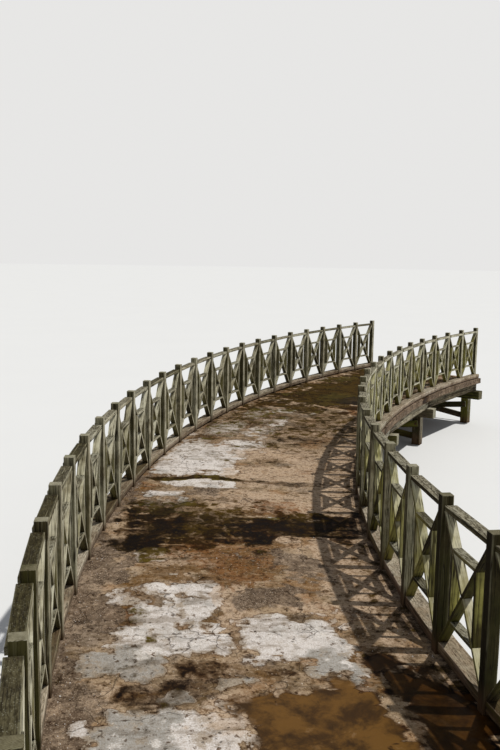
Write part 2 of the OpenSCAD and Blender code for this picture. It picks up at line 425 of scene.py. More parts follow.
@dataclass(frozen=True)
class TimberFinish(Finish):
    """Weathered softwood with light and shade painted into its colour: faces turned to the lamp are paler
    (painted light, with sun bleaching), faces turned from it darker and greener (painted shade, with damp),
    and faces toward the camera carry moss with painted shade on the posts and painted light on the inner
    lattice.

    The grain runs along the board: silvered ridges, dark grooves and fine splits. Top faces carry lichen and
    the feet carry soil.
    """

    pale: Colour = srgb(188, 185, 158)
    # Pale colour laid on faces toward the lamp: painted light, with sun bleaching.
    bleached: Colour = srgb(222, 220, 200)
    body: Colour = srgb(102, 95, 66)
    groove: Colour = srgb(34, 28, 16)
    algae: Colour = srgb(66, 68, 30)
    fresh: Colour = srgb(122, 122, 50)
    top: Colour = srgb(92, 88, 70)
    lichen: Colour = srgb(156, 154, 138)
    dirt: Colour = srgb(92, 68, 48)
    # Tint of camera-facing faces: moss, and painted shade where it is dark.
    moss: Colour = srgb(120, 114, 80)
    # Tint of faces turned from the lamp: painted shade, with damp.
    damp: Colour = srgb(100, 90, 60)
    algae_by: float = 0.5
    lichen_by: float = 1.0
    # How much painted sunlit moss the camera-facing faces carry.
    moss_by: float = 0.0
    dirt_z: float = 1.1
    dirt_reach: float = 0.16

    def paint(self, graph: Graph) -> Look:
        """Colour, roughness and normal of weathered timber.

        Args:
            graph: Where the nodes go.

        Returns:
            The colour, roughness and normal.
        """
        grain = graph.attribute("grain").outputs["Vector"]
        lot = graph.attribute("lot")
        tone, warm, green = graph.parts(lot.outputs["Color"])
        arris = Value(graph, lot.outputs["Alpha"])
        where = graph.place()
        height = graph.parts(where)[2]
        facing = graph.parts(graph.add("ShaderNodeNewGeometry", {}, {}).outputs["Normal"])
        # How squarely each face meets the studio lamp (its sun_from); the colour below uses it to paint light
        # on faces toward the lamp and shade on faces away from it.
        light = facing[0] * 0.06 - facing[1] * 0.43 + facing[2] * 0.90
        # The second mask marks faces turned from the lamp, which are painted dark as shade.
        sunny, damp = light.between(0.15, 0.55), light.between(-0.02, -0.40)
        # Faces toward the camera: moss, with painted shade on the posts and painted light on the inner
        # lattice, by finish.
        mossy = (facing[0] * -1).between(0.5, 0.95) * (1.25 - tone * 0.85)
        up = facing[2].between(0.72, 0.95)

        wavy = graph.moved(grain, graph.noise_colour(grain, 5.0), 0.012)
        bands = graph.noise(graph.scaled(wavy, (0.9, 30, 30)), detail=3, rough=0.6)
        fibre = graph.noise(graph.scaled(wavy, (5.0, 210, 210)), detail=2, rough=0.6)
        split = graph.noise(graph.scaled(wavy, (1.5, 48, 48), (7, 3, 1)), detail=1).ridge()
        grooves = split.between(0.90, 0.985) * graph.noise(grain, 6.0).between(0.35, 0.6)
        stain = graph.noise(grain, 3.5, 4, 0.65)
        patch = graph.noise(where, 14, 4, 0.7)
        weather = graph.noise(graph.scaled(grain, (20, 70, 70)), 1.0, 7, 0.76)
        speck = graph.cells(grain, 85).between(0.34, 0.14)

        silver = bands * 0.7 + fibre * 0.3 + (tone - 0.5) * 0.2 + arris * 0.14
        silver = (silver + sunny * 0.10 - damp * 0.06 - mossy * 0.04).between(0.40, 0.60)
        # Dark lots: random dark boards, and the nearest posts and rails drawn dark as painted shade.
        gloom = tone.between(0.45, 0.05)
        low = (height - self.dirt_z).between(0.95, 0.1)
        growth = graph.noise(where, 2.6, 4, 0.65) + damp * 0.10 + mossy * 0.16 + low * 0.10
        growth = growth + (green - 0.5) * 0.24 - up * 0.25 - sunny * 0.10
        algae = growth.between(0.56, 0.80) * self.algae_by
        slime = Coat(graph, self.algae).over(self.fresh, (green + bands - 0.5).between(0.55, 0.85))
        mat = mossy * (facing[2] + 1).between(0.60, 0.95) * (bands + stain).between(0.82, 1.16) * self.moss_by
        crust = up * patch.between(0.42, 0.60) * (1 - gloom * 0.6) * self.lichen_by
        fleck = weather.between(0.52, 0.58) * (1 - gloom) * self.lichen_by
        soil = (height - self.dirt_z + graph.noise(where, 11, 3) * 0.12 - 0.06).between(self.dirt_reach, 0.0)
        colour = (
            Coat(graph, self.body)
            .over(self.pale, silver)
            # Painted light: faces toward the lamp are laid paler, along with real sun bleaching.
            .over(self.bleached, silver * sunny * 0.75)
            .tint(srgb(212, 188, 156), warm * 0.8)
            .tint(srgb(158, 148, 128), stain.between(0.46, 0.68) * 0.8)
            .tint(srgb(104, 92, 64), fibre.between(0.50, 0.32) * (1 - up * 0.5) * 0.75)
            # Painted shade: faces turned from the lamp are darkened, along with damp.
            .tint(self.damp, damp * (patch * 0.5 + 0.6).clamped())
            # Camera-facing faces tinted by the finish's moss colour: moss, and painted shade on the posts.
            .tint(self.moss, (mossy * (patch * 0.9 + 0.2)).clamped() * 0.7)
            # Darker lots: random tone, and painted shade on the nearest posts and rails.
            .tint(srgb(146, 140, 112), gloom * 0.7)
            # Pale arrises: worn edges, and a painted highlight along them.
            .over(self.pale, arris * bands.between(0.44, 0.60) * (1 - mossy * 0.5) * 0.4)
            .over(slime.tint(srgb(158, 146, 108), fibre), algae)
            # Painted light: bright sunlit moss laid on camera-facing faces.
            .over(self.fresh, mat.clamped())
            .over(self.top, up * self.lichen_by * 0.55)
            .over(self.lichen, crust * 0.5)
            .tint(srgb(148, 141, 118), up * weather.between(0.36, 0.64) * self.lichen_by)
            # Darker tops on dark lots: painted shade on the nearest rails and posts, with random tone.
            .tint(srgb(152, 148, 116), up * gloom)
            .tint(srgb(132, 126, 106), up * fleck)
            .over(srgb(168, 166, 148), speck * up * patch.between(0.40, 0.56) * self.lichen_by * 0.4)
            # Pale arrises on top faces: worn edges, and a painted highlight along them.
            .over(self.pale, arris * up * fibre.between(0.42, 0.60) * 0.45)
            .over(self.dirt, soil * 0.8)
            .over(self.groove, grooves * (1 - up * 0.4) * 0.9)
        )
        rough = 0.9 - silver * 0.08 - algae * 0.1 + crust * 0.05
        relief = bands * 0.5 + fibre * 0.28 - grooves * 0.9 + (crust * speck) * 0.35 + 0.5
        return colour, rough, graph.bump(relief, 3.2 * MM, 0.9)


@dataclass(frozen=True)
class EndGrainFinish(Finish):
    """Cross-cut timber: dark rings round a heart that lies off the middle, with drying checks."""

    light: Colour = srgb(172, 168, 146)
    dark: Colour = srgb(100, 94, 74)
    moss: Colour = srgb(92, 94, 60)

    def paint(self, graph: Graph) -> Look:
        """Colour, roughness and normal of end grain.

        Args:
            graph: Where the nodes go.

        Returns:
            The colour, roughness and normal.
        """
        grain = graph.attribute("grain").outputs["Vector"]
        where = graph.place()
        flat = graph.scaled(grain, (0.0, 1.0, 1.0))
        wavy = graph.moved(flat, graph.noise_colour(flat, 18.0), 0.02)
        settings = {"wave_type": "RINGS", "rings_direction": "X", "wave_profile": "SIN"}
        rings = graph.add("ShaderNodeTexWave", settings, {"Vector": wavy, "Scale": 42.0, "Distortion": 1.5})
        ring = Value(graph, rings.outputs["Fac"])
        stain = graph.noise(where, 22, 3, 0.65)
        pits = graph.noise(grain, 260, 2)
        tone = graph.parts(graph.attribute("lot").outputs["Color"])[0]
        colour = (
            Coat(graph, self.dark)
            .over(self.light, (ring * 0.45 + stain * 0.75).between(0.3, 0.85))
            .over(self.moss, graph.noise(where, 9, 2).between(0.5, 0.7) * 0.5)
            .over(srgb(168, 164, 148), graph.noise(where, 60, 2).between(0.55, 0.7) * 0.55)
            # Darker end grain on dark lots: painted shade on the heads of the nearest posts, with random
            # tone.
            .tint(srgb(160, 154, 128), tone.between(0.45, 0.05) * 0.8)
        )
        return colour, 0.92 - pits * 0.05, graph.bump(ring * 0.5 + pits * 0.5, 1.5 * MM, 0.8)


@dataclass(frozen=True)
class StoneFinish(Finish):
    """Worn pale stone with cracks and pits under a film of clay silt, damp and dark in the hollows, with
    painted shade laid into its stain layer.
    """

    pale: Colour = srgb(228, 224, 221)
    cool: Colour = srgb(160, 158, 152)
    chalk: Colour = srgb(243, 240, 236)
    silt: Colour = srgb(170, 149, 122)
    brown: Colour = srgb(112, 92, 66)
    rosy: Colour = srgb(204, 182, 158)
    clay: Colour = srgb(118, 86, 44)
    rust: Colour = srgb(136, 90, 48)
    soil: Colour = srgb(116, 100, 82)
    deep: Colour = srgb(62, 43, 20)
    amber: Colour = srgb(118, 84, 38)
    crack: Colour = srgb(58, 46, 33)

    @staticmethod
    def noises(graph: Graph, where: Link) -> Masks:
        """Makes the noises that several layers share.

        Args:
            graph: Where the nodes go.
            where: Coordinates on the deck.

        Returns:
            The noises by name.
        """
        swirl = graph.moved(where, graph.noise_colour(where, 1.6, 4.0), 0.4)
        flow = graph.moved(where, graph.noise_colour(where, 2.2, 3.0), 0.24)
        return {
            "fine": graph.noise(swirl, 5.5, 9, 0.68),
            "broad": graph.noise(swirl, 1.9, 8, 0.62, shift=(4, 1, 7)),
            "middling": graph.noise(where, 10.0, 7, 0.68, shift=(9, 3, 2)),
            "streak": graph.noise(graph.scaled(flow, (7.0, 1.9, 1.0), (3, 0, 5)), 1.0, 7, 0.66),
        }

    @staticmethod
    def masks(graph: Graph, noises: Masks) -> Masks:
        """Breaks up the layers that the mesh carries.

        Args:
            graph: Where the nodes go.
            noises: Noises by name.

        Returns:
            How much of each layer there is.
        """
        lot, wash = graph.attribute("lot"), graph.attribute("wash")
        clean, clayey, wet = graph.parts(lot.outputs["Color"])
        rosy, rusty, stained = graph.parts(wash.outputs["Color"])
        earthy, cooler = (Value(graph, node.outputs["Alpha"]) for node in (lot, wash))
        fine, broad, middling, streak = (noises[key] - 0.5 for key in ("fine", "broad", "middling", "streak"))
        level = clean + fine * 1.8 + middling * 1.1
        veiled = (clean + broad * 1.5 + middling * 1.6).between(0.28, 1.0)
        bare = level.between(0.43, 0.58) * 0.7 + veiled * 0.3
        damp = (wet + fine * 1.6 + middling * 0.9).between(0.38, 0.82)
        return {
            "bare": bare,
            "edge": level.between(0.38, 0.46) * level.between(0.60, 0.50),
            "rim": level.between(0.95, 0.55),
            "clay": (clayey + broad * 1.6).between(0.35, 0.75),
            "soil": (earthy + fine * 1.6).between(0.35, 0.70),
            "rosy": (rosy + fine * 1.6).between(0.35, 0.65),
            "rust": (rusty + streak * 1.6 + broad * 0.8).between(0.35, 0.75),
            "cool": (cooler + broad).between(0.35, 0.75),
            "stain": (stained + fine * 1.9 + middling).between(0.34, 0.94),
            "film": damp * (1 - bare * 0.45),
            "sodden": (wet + stained * 0.2 + streak * 1.6).between(0.55, 0.95) * (1 - bare * 0.5),
            "still": (wet + broad * 0.5).between(0.66, 0.86),
        }

    def bed(self, graph: Graph, where: Link, masks: Masks, noises: Masks) -> Coat:
        """Colour of the silt, clay and soil between the plates.

        Args:
            graph: Where the nodes go.
            where: Coordinates on the deck.
            masks: How much of each layer there is.
            noises: Noises by name.

        Returns:
            The colour.
        """
        fine, broad, middling, streak = (noises[key] for key in ("fine", "broad", "middling", "streak"))
        dust = graph.noise(where, 3.4, 7, 0.66, shift=(6, 2, 9))
        amber = graph.noise(where, 1.7, 7, 0.62, shift=(12, 5, 1))
        pebbles = graph.cells(where, 75.0)
        blush = Coat(graph, self.rosy).over(srgb(170, 144, 116), middling.between(0.48, 0.62))
        stones = Coat(graph, srgb(74, 60, 48)).over(
            srgb(204, 186, 166), pebbles.between(0.5, 0.1) * broad.between(0.3, 0.6)
        )
        earth = (
            Coat(graph, self.soil)
            .over(srgb(182, 162, 138), (middling * 0.5 + dust * 0.5).between(0.45, 0.60))
            .over(srgb(96, 84, 78), pebbles.between(0.30, 0.50) * 0.45)
            .over(stones, fine.between(0.44, 0.56) * 0.7)
        )
        return (
            Coat(graph, self.silt)
            .over(self.brown, broad.between(0.44, 0.60))
            .over(self.rosy, (dust * 0.75 + middling * 0.25).between(0.47, 0.60) * 0.75)
            .over(srgb(160, 122, 82), amber.between(0.52, 0.64) * 0.6)
            .over(srgb(146, 134, 122), amber.between(0.47, 0.37) * 0.55)
            .over(self.clay, masks["clay"] * 0.75)
            .over(blush, masks["rosy"] * 0.85)
            .over(self.rust, masks["rust"] * middling.between(0.36, 0.58) * 0.75)
            .over(srgb(74, 55, 34), fine.between(0.45, 0.32) * 0.62)
            .tint(srgb(148, 131, 104), middling.between(0.46, 0.36) * 0.8)
            .over(srgb(74, 58, 36), streak.between(0.47, 0.34) * 0.6)
            .over(srgb(190, 166, 136), streak.between(0.53, 0.66) * 0.45)
            .over(earth, masks["soil"] * 0.9)
        )

    def stone(self, graph: Graph, where: Link, masks: Masks, noises: Masks) -> Coat:
        """Colour of the bare plates.

        Args:
            graph: Where the nodes go.
            where: Coordinates on the deck.
            masks: How much of each layer there is.
            noises: Noises by name.

        Returns:
            The colour.
        """
        fine, broad, middling = (noises[key] for key in ("fine", "broad", "middling"))
        film = graph.noise(where, 4.0, 8, 0.68, shift=(2, 7, 4))
        return (
            Coat(graph, self.pale)
            .over(self.cool, (broad.between(0.50, 0.66) * 0.6).most(masks["cool"] * 0.85))
            .over(srgb(166, 150, 128), (film + masks["rim"] * 0.17).between(0.52, 0.68) * 0.7)
            .over(self.rosy, masks["rosy"] * 0.6)
            .tint(srgb(164, 154, 140), middling.between(0.54, 0.68) * 0.7)
            .tint(srgb(172, 161, 147), noises["streak"].between(0.50, 0.38) * 0.6)
            .over(self.chalk, fine.between(0.50, 0.62) * film.between(0.54, 0.44) * 0.7)
        )

    def paint(self, graph: Graph) -> Look:
        """Colour, roughness and normal of the deck.

        Args:
            graph: Where the nodes go.

        Returns:
            The colour, roughness and normal.
        """
        where = graph.attribute("grain").outputs["Vector"]
        noises = self.noises(graph, where)
        masks = self.masks(graph, noises)
        bare, stain, film, still = (masks[key] for key in ("bare", "stain", "film", "still"))
        grit = graph.noise(where, 85.0, 3, 0.62)
        flecks = graph.noise(where, 27.0, 5, 0.66, shift=(3, 3, 8))
        pits = graph.cells(graph.moved(where, graph.noise_colour(where, 26.0), 0.03), 16.0)
        pit = pits.between(0.22, 0.12) * graph.noise(where, 5.0, 2).between(0.48, 0.6)
        bent = graph.moved(where, graph.noise_colour(where, 4.0, 3.0), 0.34)
        seam = graph.cells(bent, 1.55, Cell.EDGE).between(0.010, 0.003)
        seam = seam * graph.noise(where, 1.7, 3).between(0.46, 0.54)
        blots = graph.noise(where, 15.0, 5, 0.62, shift=(1, 8, 3))
        crumbs = graph.noise(where, 44.0, 2, shift=(5, 9, 2))
        pool = (
            Coat(graph, self.deep)
            .over(self.amber, (noises["fine"] * 0.5 + noises["broad"] * 0.5).between(0.42, 0.58))
            # Pool darkened by the stain layer: damp, and painted shade by the right verge.
            .tint(srgb(150, 132, 104), stain * 0.9)
        )
        colour = (
            self.bed(graph, where, masks, noises)
            .over(self.stone(graph, where, masks, noises), bare)
            .tint(srgb(148, 133, 108), flecks.between(0.47, 0.36) * (0.7 - bare * 0.4))
            .over(srgb(200, 183, 158), flecks.between(0.55, 0.66) * (1 - bare) * 0.32)
            .tint(srgb(168, 150, 130), masks["edge"] * 0.8)
            .over(self.crack, (pit * 0.75).most(seam * 0.65))
            .tint(srgb(122, 100, 76), blots.between(0.58, 0.66) * 0.9)
            .over(srgb(214, 204, 190), crumbs.between(0.67, 0.72) * 0.75)
            .over(self.crack, crumbs.between(0.34, 0.28) * 0.75)
            .tint(srgb(228, 222, 216), grit.between(0.35, 0.6))
            # Stain layer: damp darkening, and painted shade.
            .tint(srgb(122, 102, 56), stain * 0.9)
            .tint(srgb(190, 186, 96), stain.between(0.75, 1.0))
            .tint(srgb(132, 105, 58), film * 0.97)
            .tint(srgb(144, 120, 76), masks["sodden"] * 0.9)
            .over(pool, still * 0.75)
        )
        rough = 0.9 - bare * 0.06 - film * 0.2 - still * 0.32
        relief = grit * 0.3 + noises["fine"] * 0.6 + bare * 0.5 - seam * 0.8 - pit * 0.7
        relief = (relief + masks["soil"] * noises["middling"] * 0.5) * (1 - still * 0.94) * 0.6
        return colour, rough, graph.bump(relief, 7.0 * MM, 0.9)


@dataclass(frozen=True)
class IronFinish(Finish):
    """Old iron fixings: brown rust over dark metal."""

    rust: Colour = srgb(92, 58, 38)
    dark: Colour = srgb(46, 38, 33)

    def paint(self, graph: Graph) -> Look:
        """Colour, roughness and normal of rusted iron.

        Args:
            graph: Where the nodes go.

        Returns:
            The colour, roughness and normal.
        """
        where = graph.place()
        scale = graph.noise(where, 160.0, 3, 0.6)
        colour = Coat(graph, self.dark).over(self.rust, scale.between(0.38, 0.62))
        return colour, 0.7 + scale * 0.2, graph.bump(scale, 0.6 * MM, 0.8)


@dataclass(frozen=True)
class FloorFinish(Finish):
    """Plain pale studio floor."""

    pale: Colour = (0.825, 0.84, 0.845)

    def paint(self, graph: Graph) -> Look:
        """Colour, roughness and normal of the floor; it has no relief."""
        cloud = graph.noise(graph.place(), 0.35, 2)
        return Coat(graph, self.pale).over(tuple(0.97 * c for c in self.pale), cloud), 0.95, None


TIMBER_END = EndGrainFinish("worn_end_grain")
LATTICE_TIMBER = TimberFinish(
    "worn_lattice_timber", moss=srgb(250, 246, 214), algae=srgb(112, 108, 72), fresh=srgb(160, 156, 100),
    algae_by=0.6,
)
# Inner lattice: camera-facing faces laid bright yellow-green, painted light of sun on moss.
DAMP_LATTICE_TIMBER = TimberFinish(
    "worn_damp_lattice_timber", moss=srgb(240, 236, 150), algae=srgb(112, 112, 46), fresh=srgb(182, 177, 100),
    algae_by=0.6, moss_by=0.85,
)
# Posts: the default moss tint darkens camera-facing faces, painted shade with moss.
POST_TIMBER = TimberFinish("worn_post_timber", fresh=srgb(86, 84, 40), algae_by=0.55, dirt_reach=0.22)
RAIL_TIMBER = TimberFinish("worn_rail_timber", top=srgb(118, 110, 94), algae_by=0.4)
SILL_TIMBER = TimberFinish(
    "worn_sill_timber", pale=srgb(192, 170, 150), body=srgb(132, 108, 86), top=srgb(160, 137, 117),
    lichen_by=0.6, dirt_reach=0.13,
)
SUPPORT_TIMBER = TimberFinish(
    "worn_support_timber", pale=srgb(140, 130, 108), body=srgb(92, 80, 60), algae_by=0.8, lichen_by=0.2,
    dirt_z=0.0, dirt_reach=0.3,
)
DECK_STONE = StoneFinish("worn_deck_stone", specular=0.1)
FIXING_IRON = IronFinish("worn_fixing_iron")


@dataclass(frozen=True)
class Axes:
    """A local frame: where u, v and d are zero and the way each one points."""

    origin: Array
    u: Array
    v: Array
    d: Array

    def world(self, u: Array, v: Array, d: Array) -> Array:
        """Points in the part's frame.

        Args:
            u, v, d: Local coordinates, arrays of one shape.

        Returns:
            An array of that shape with x, y and z along a last axis.
        """
        return self.origin + u[..., None] * self.u + v[..., None] * self.v + d[..., None] * self.d

    def turned(self) -> bool:
        """Whether the frame is left handed, so that its faces have to be turned round."""
        return float(np.dot(np.cross(self.u, self.v), self.d)) < 0


@dataclass
class Ring:
    """Cross-section of a board: a rectangle with eased corners, as a loop of points in v and d."""

    v: Array
    d: Array
    normal_v: Array
    normal_d: Array
    arris: Array
    faces: tuple[list[int], list[int], list[int], list[int]]

    @classmethod
    def box(cls, v0: float, v1: float, d0: float, d1: float, ease: float, across: int, deep: int) -> Ring:
        """Makes the loop of a rectangle.

        Args:
            v0, v1: Range across.
            d0, d1: Range in depth.
            ease: Radius of the eased corners.
            across: Points on each face that runs in v.
            deep: Points on each face that runs in d.

        Returns:
            The ring, anticlockwise as seen with v to the right and d up.
        """
        low_v, high_v, low_d, high_d = v0 + ease, v1 - ease, d0 + ease, d1 - ease
        line_v, line_d = np.linspace(low_v, high_v, across), np.linspace(low_d, high_d, deep)
        sides = (
            [(v, d0, 0.0, -1.0) for v in line_v],
            [(v1, d, 1.0, 0.0) for d in line_d],
            [(v, d1, 0.0, 1.0) for v in line_v[::-1]],
            [(v0, d, -1.0, 0.0) for d in line_d[::-1]],
        )
        centres = ((high_v, low_d), (high_v, high_d), (low_v, high_d), (low_v, low_d))
        points: list[tuple[float, ...]] = []
        faces: list[list[int]] = []
        for k, side in enumerate(sides):
            faces.append(list(range(len(points), len(points) + len(side))))
            last = len(side) - 1
            points += [(*p, 0.35 if i in (0, last) else 0.0) for i, p in enumerate(side)]
            for part in (1 / 3, 2 / 3):
                angle = math.radians(90 * (k - 1 + part))
                nv, nd = math.cos(angle), math.sin(angle)
                points.append((centres[k][0] + ease * nv, centres[k][1] + ease * nd, nv, nd, 1.0))
        columns = [np.array(c) for c in zip(*points)]
        return cls(*columns, tuple(faces))

    def squeezed(self, place: int, gap: float) -> Ring:
        """Moves the two neighbours of a point up to it, ready for a narrow drying check.

        Args:
            place: Index of the point.
            gap: Distance from it to each neighbour.

        Returns:
            A new ring.
        """
        v, d = self.v.copy(), self.d.copy()
        for other in (place - 1, place + 1):
            away = np.array([v[other] - v[place], d[other] - d[place]])
            away *= gap / np.linalg.norm(away)
            v[other], d[other] = v[place] + away[0], d[place] + away[1]
        return Ring(v, d, self.normal_v, self.normal_d, self.arris, self.faces)


@dataclass(frozen=True)
class Check:
    """A drying check: a narrow groove along the grain."""

    place: int
    depth: float
    start: float
    end: float


@dataclass(frozen=True)
class Wear:
    """How far weather and use have eaten into a board, in metres."""

    grain: float = 0.9 * MM
    hollow: float = 1.2 * MM
    knocks: float = 2.2 * MM

    def depth(self, u: Array, v: Array, d: Array, arris: Array, seed: int) -> Array:
        """Depth below the sawn surface.

        Args:
            u, v, d: Points along, across and in depth.
            arris: 1 at the eased corners.
            seed: Which board.

        Returns:
            Depths of 0 or more.
        """
        lines = Relief.plain(u * 2.2, v * 95, d * 95, seed)
        slow = Relief.plain(u * 4.0, v * 7, d * 7, seed + 1)
        chips = Relief.rough(u * 9.0, v * 12, d * 12, seed + 2, 2)
        worn = self.grain * (0.5 + 0.5 * lines) + self.hollow * (0.5 + 0.5 * slow)
        return worn + self.knocks * arris * np.clip(chips - 0.15, 0, 1)


@dataclass(frozen=True)
class Lot:
    """Which length of timber a board was cut from: how it differs from its neighbours."""

    tone: float
    warm: float
    green: float
    shift: tuple[float, float, float]
    seed: int

    @classmethod
    def draw(cls, dice: random.Random, warm: float = 0.35, tone: Span = (0.0, 1.0)) -> Lot:
        """Draws a length of timber.

        Args:
            dice: Where the chance comes from.
            warm: How warm its colour may be.
            tone: The darkest and the palest that it may be.

        Returns:
            The length of timber.
        """
        shift = (dice.uniform(0, 60), dice.uniform(0, 9), dice.uniform(0, 9))
        return cls(dice.uniform(*tone), warm * dice.random(), dice.random(), shift, dice.randrange(1 << 20))


class Slot(Enum):
    """Which of a piece's materials a face has."""

    FACE = 0
    END = 1


@dataclass
class Solid:
    """Gathers the vertices and faces of one piece, with the values that its finish reads."""

    points: list[Array] = field(default_factory=list)
    grain: list[Array] = field(default_factory=list)
    lot: list[Array] = field(default_factory=list)
    faces: list[Array] = field(default_factory=list)
    slots: list[Array] = field(default_factory=list)
    count: int = 0

    def take(self, points: Array, grain: Array, lot: Array) -> int:
        """Adds vertices.

        Args:
            points: Places, one row each.
            grain: Coordinates that the finish reads.
            lot: Four or eight values that the finish reads.

        Returns:
            The index of the first one.
        """
        first = self.count
        self.points.append(points.reshape(-1, 3))
        self.grain.append(grain.reshape(-1, 3))
        self.lot.append(lot.reshape(-1, lot.shape[-1]))
        self.count += self.points[-1].shape[0]
        return first

    def cover(self, faces: Array, slot: Slot, turned: bool = False) -> None:
        """Adds faces that all have one number of corners.

        Args:
            faces: Vertex indices, one row for each face.
            slot: Their material.
            turned: Whether to turn them round.
        """
        faces = np.atleast_2d(np.asarray(faces, np.int64))
        self.faces.append(faces[:, ::-1] if turned else faces)
        self.slots.append(np.full(len(faces), slot.value))

    @staticmethod
    def _bands(first: int, rows: int, around: int) -> tuple[Array, Array]:
        """Numbers the points of rings that follow each other.

        Args:
            first: Number of the first point.
            rows: How many rings.
            around: Points of each ring.

        Returns:
            The number of each point, and the four corners of each face.
        """
        index = first + np.arange(rows * around).reshape(rows, around)
        following = np.roll(index, -1, axis=1)
        return index, np.stack([index[:-1], following[:-1], following[1:], index[1:]], -1)

    @staticmethod
    def _stations(
        low: Array, high: Array, steps: int, end_ease: float, head: Sequence[Span]
    ) -> tuple[Array, Array]:
        """Places the rings of a board.

        Args:
            low, high: Where it is cut at each point of the ring.
            steps: Stations along it.
            end_ease: How much its cut ends are rounded.
            head: Extra rings past the top end.

        Returns:
            How far along the board each point of each ring is, and how far the ring is drawn in there.
        """
        near = end_ease * 1.6 / float(np.mean(high - low))
        share = np.concatenate([[0.0], np.linspace(near, 1 - near, steps), [1.0]])[:, None]
        inset = np.zeros_like(share)
        inset[0] = end_ease
        inset[-1] = 0.0 if head else end_ease
        u = low[None, :] + (high - low)[None, :] * share
        if head:
            u = np.minimum(u, high[None, :] - head[0][0])
            u = np.concatenate([u, np.array([high - drop for drop, _ in head])])
            inset = np.concatenate([inset, np.array([[i] for _, i in head])])
        return np.broadcast_arrays(u, inset + 0 * u)

    def sweep(
        self, axes: Axes, ring: Ring, low: Array, high: Array, steps: int, wear: Wear, lot: Lot,
        checks: Sequence[Check] = (), end_ease: float = 1.2 * MM, head: Sequence[Span] = ()
    ) -> None:
        """Adds a board: a ring carried along u from one cut end to the other.

        Args:
            axes: Where the board lies.
            ring: Its cross-section.
            low, high: Where it is cut at each point of the ring.
            steps: Stations along it.
            wear: How worn it is.
            lot: Which length of timber it is.
            checks: Drying checks.
            end_ease: How much its cut ends are rounded.
            head: Extra rings past the top end, as (drop from the end, inset), for an eased head.
        """
        u, inset = self._stations(low, high, steps, end_ease, head)
        v = np.broadcast_to(ring.v, u.shape)
        d = np.broadcast_to(ring.d, u.shape)
        depth = wear.depth(u + lot.shift[0], v, d, ring.arris[None, :], lot.seed)
        for check in checks:
            place = (u[:, check.place] - check.start) / (check.end - check.start)
            taper = np.clip(4 * place * (1 - place), 0, 1) ** 0.5
            ragged = 0.75 + 0.25 * Relief.plain(u[:, check.place] * 14, 0 * place, 0 * place, lot.seed + 5)
            depth[:, check.place] += check.depth * taper * ragged
        (middle_v, half_v), (middle_d, half_d) = (
            ((side.max() + side.min()) / 2, (side.max() - side.min()) / 2) for side in (ring.v, ring.d)
        )
        shrink_v, shrink_d = 1 - inset / half_v, 1 - inset / half_d
        pull = np.clip(np.minimum(shrink_v, shrink_d) * 1.6, 0, 1)
        pv = middle_v + (v - ring.normal_v * depth * pull - middle_v) * shrink_v
        pd = middle_d + (d - ring.normal_d * depth * pull - middle_d) * shrink_d
        pu, grain_v, grain_d = u, v, d
        if head:
            grain_v, grain_d = pv, pd
            crown = Relief.rough(pv * 40, pd * 40, np.full_like(pv, lot.shift[0]), lot.seed + 9, 2)
            pu = u - np.where(inset > 4 * MM, 1.2 * MM * (1 + crown), 0)
        shift = np.array(lot.shift)
        grain = np.stack([u, grain_v, grain_d], -1) + shift
        values = np.empty((*u.shape, 4))
        values[..., :3] = (lot.tone, lot.warm, lot.green)
        values[..., 3] = ring.arris
        first = self.take(axes.world(pu, pv, pd), grain, values)
        index, quads = self._bands(first, *u.shape)
        turned = axes.turned()
        solid_rows = len(quads) - max(len(head) - 1, 0)
        self.cover(quads[:solid_rows].reshape(-1, 4), Slot.FACE, turned)
        if head:
            self.cover(quads[solid_rows:].reshape(-1, 4), Slot.END, turned)
            self.cover(index[-1][None, :], Slot.END, turned)
        else:
            self._cap(index[-1], ring, turned)
        self._cap(index[0], ring, not turned)

    def _cap(self, loop: Array, ring: Ring, turned: bool) -> None:
        """Closes an end with strips from front to back, so that a pointed end stays crisp.

        Args:
            loop: Numbers of the points of the end.
            ring: Its cross-section.
            turned: Whether to turn the faces round.
        """
        front, right, back, left = ring.faces
        count = len(loop)
        facing = back[::-1]
        strips = [[front[k], front[k + 1], facing[k + 1], facing[k]] for k in range(len(front) - 1)]
        self.cover(loop[np.array(strips)], Slot.END, turned)
        plus = list(range(front[-1], back[0] + 1))
        minus = list(range(back[-1], count)) + [0]
        self.cover(loop[np.array([plus])], Slot.END, turned)
        self.cover(loop[np.array([minus])], Slot.END, turned)

    @staticmethod
    def _edges(there: Array) -> list[tuple[int, int, int, int]]:
        """Finds the edges of solid cells that have no solid neighbour.

        Args:
            there: Which cells of the grid are solid.

        Returns:
            For each edge, the two grid points that it joins.
        """
        padded = np.pad(there, 1)
        edges = []
        for i, j in zip(*np.nonzero(there)):
            ring = ((i, j), (i + 1, j), (i + 1, j + 1), (i, j + 1))
            for k, (di, dj) in enumerate(((0, -1), (1, 0), (0, 1), (-1, 0))):
                if not padded[i + di + 1, j + dj + 1]:
                    edges.append((*ring[k], *ring[(k + 1) % 4]))
        return edges

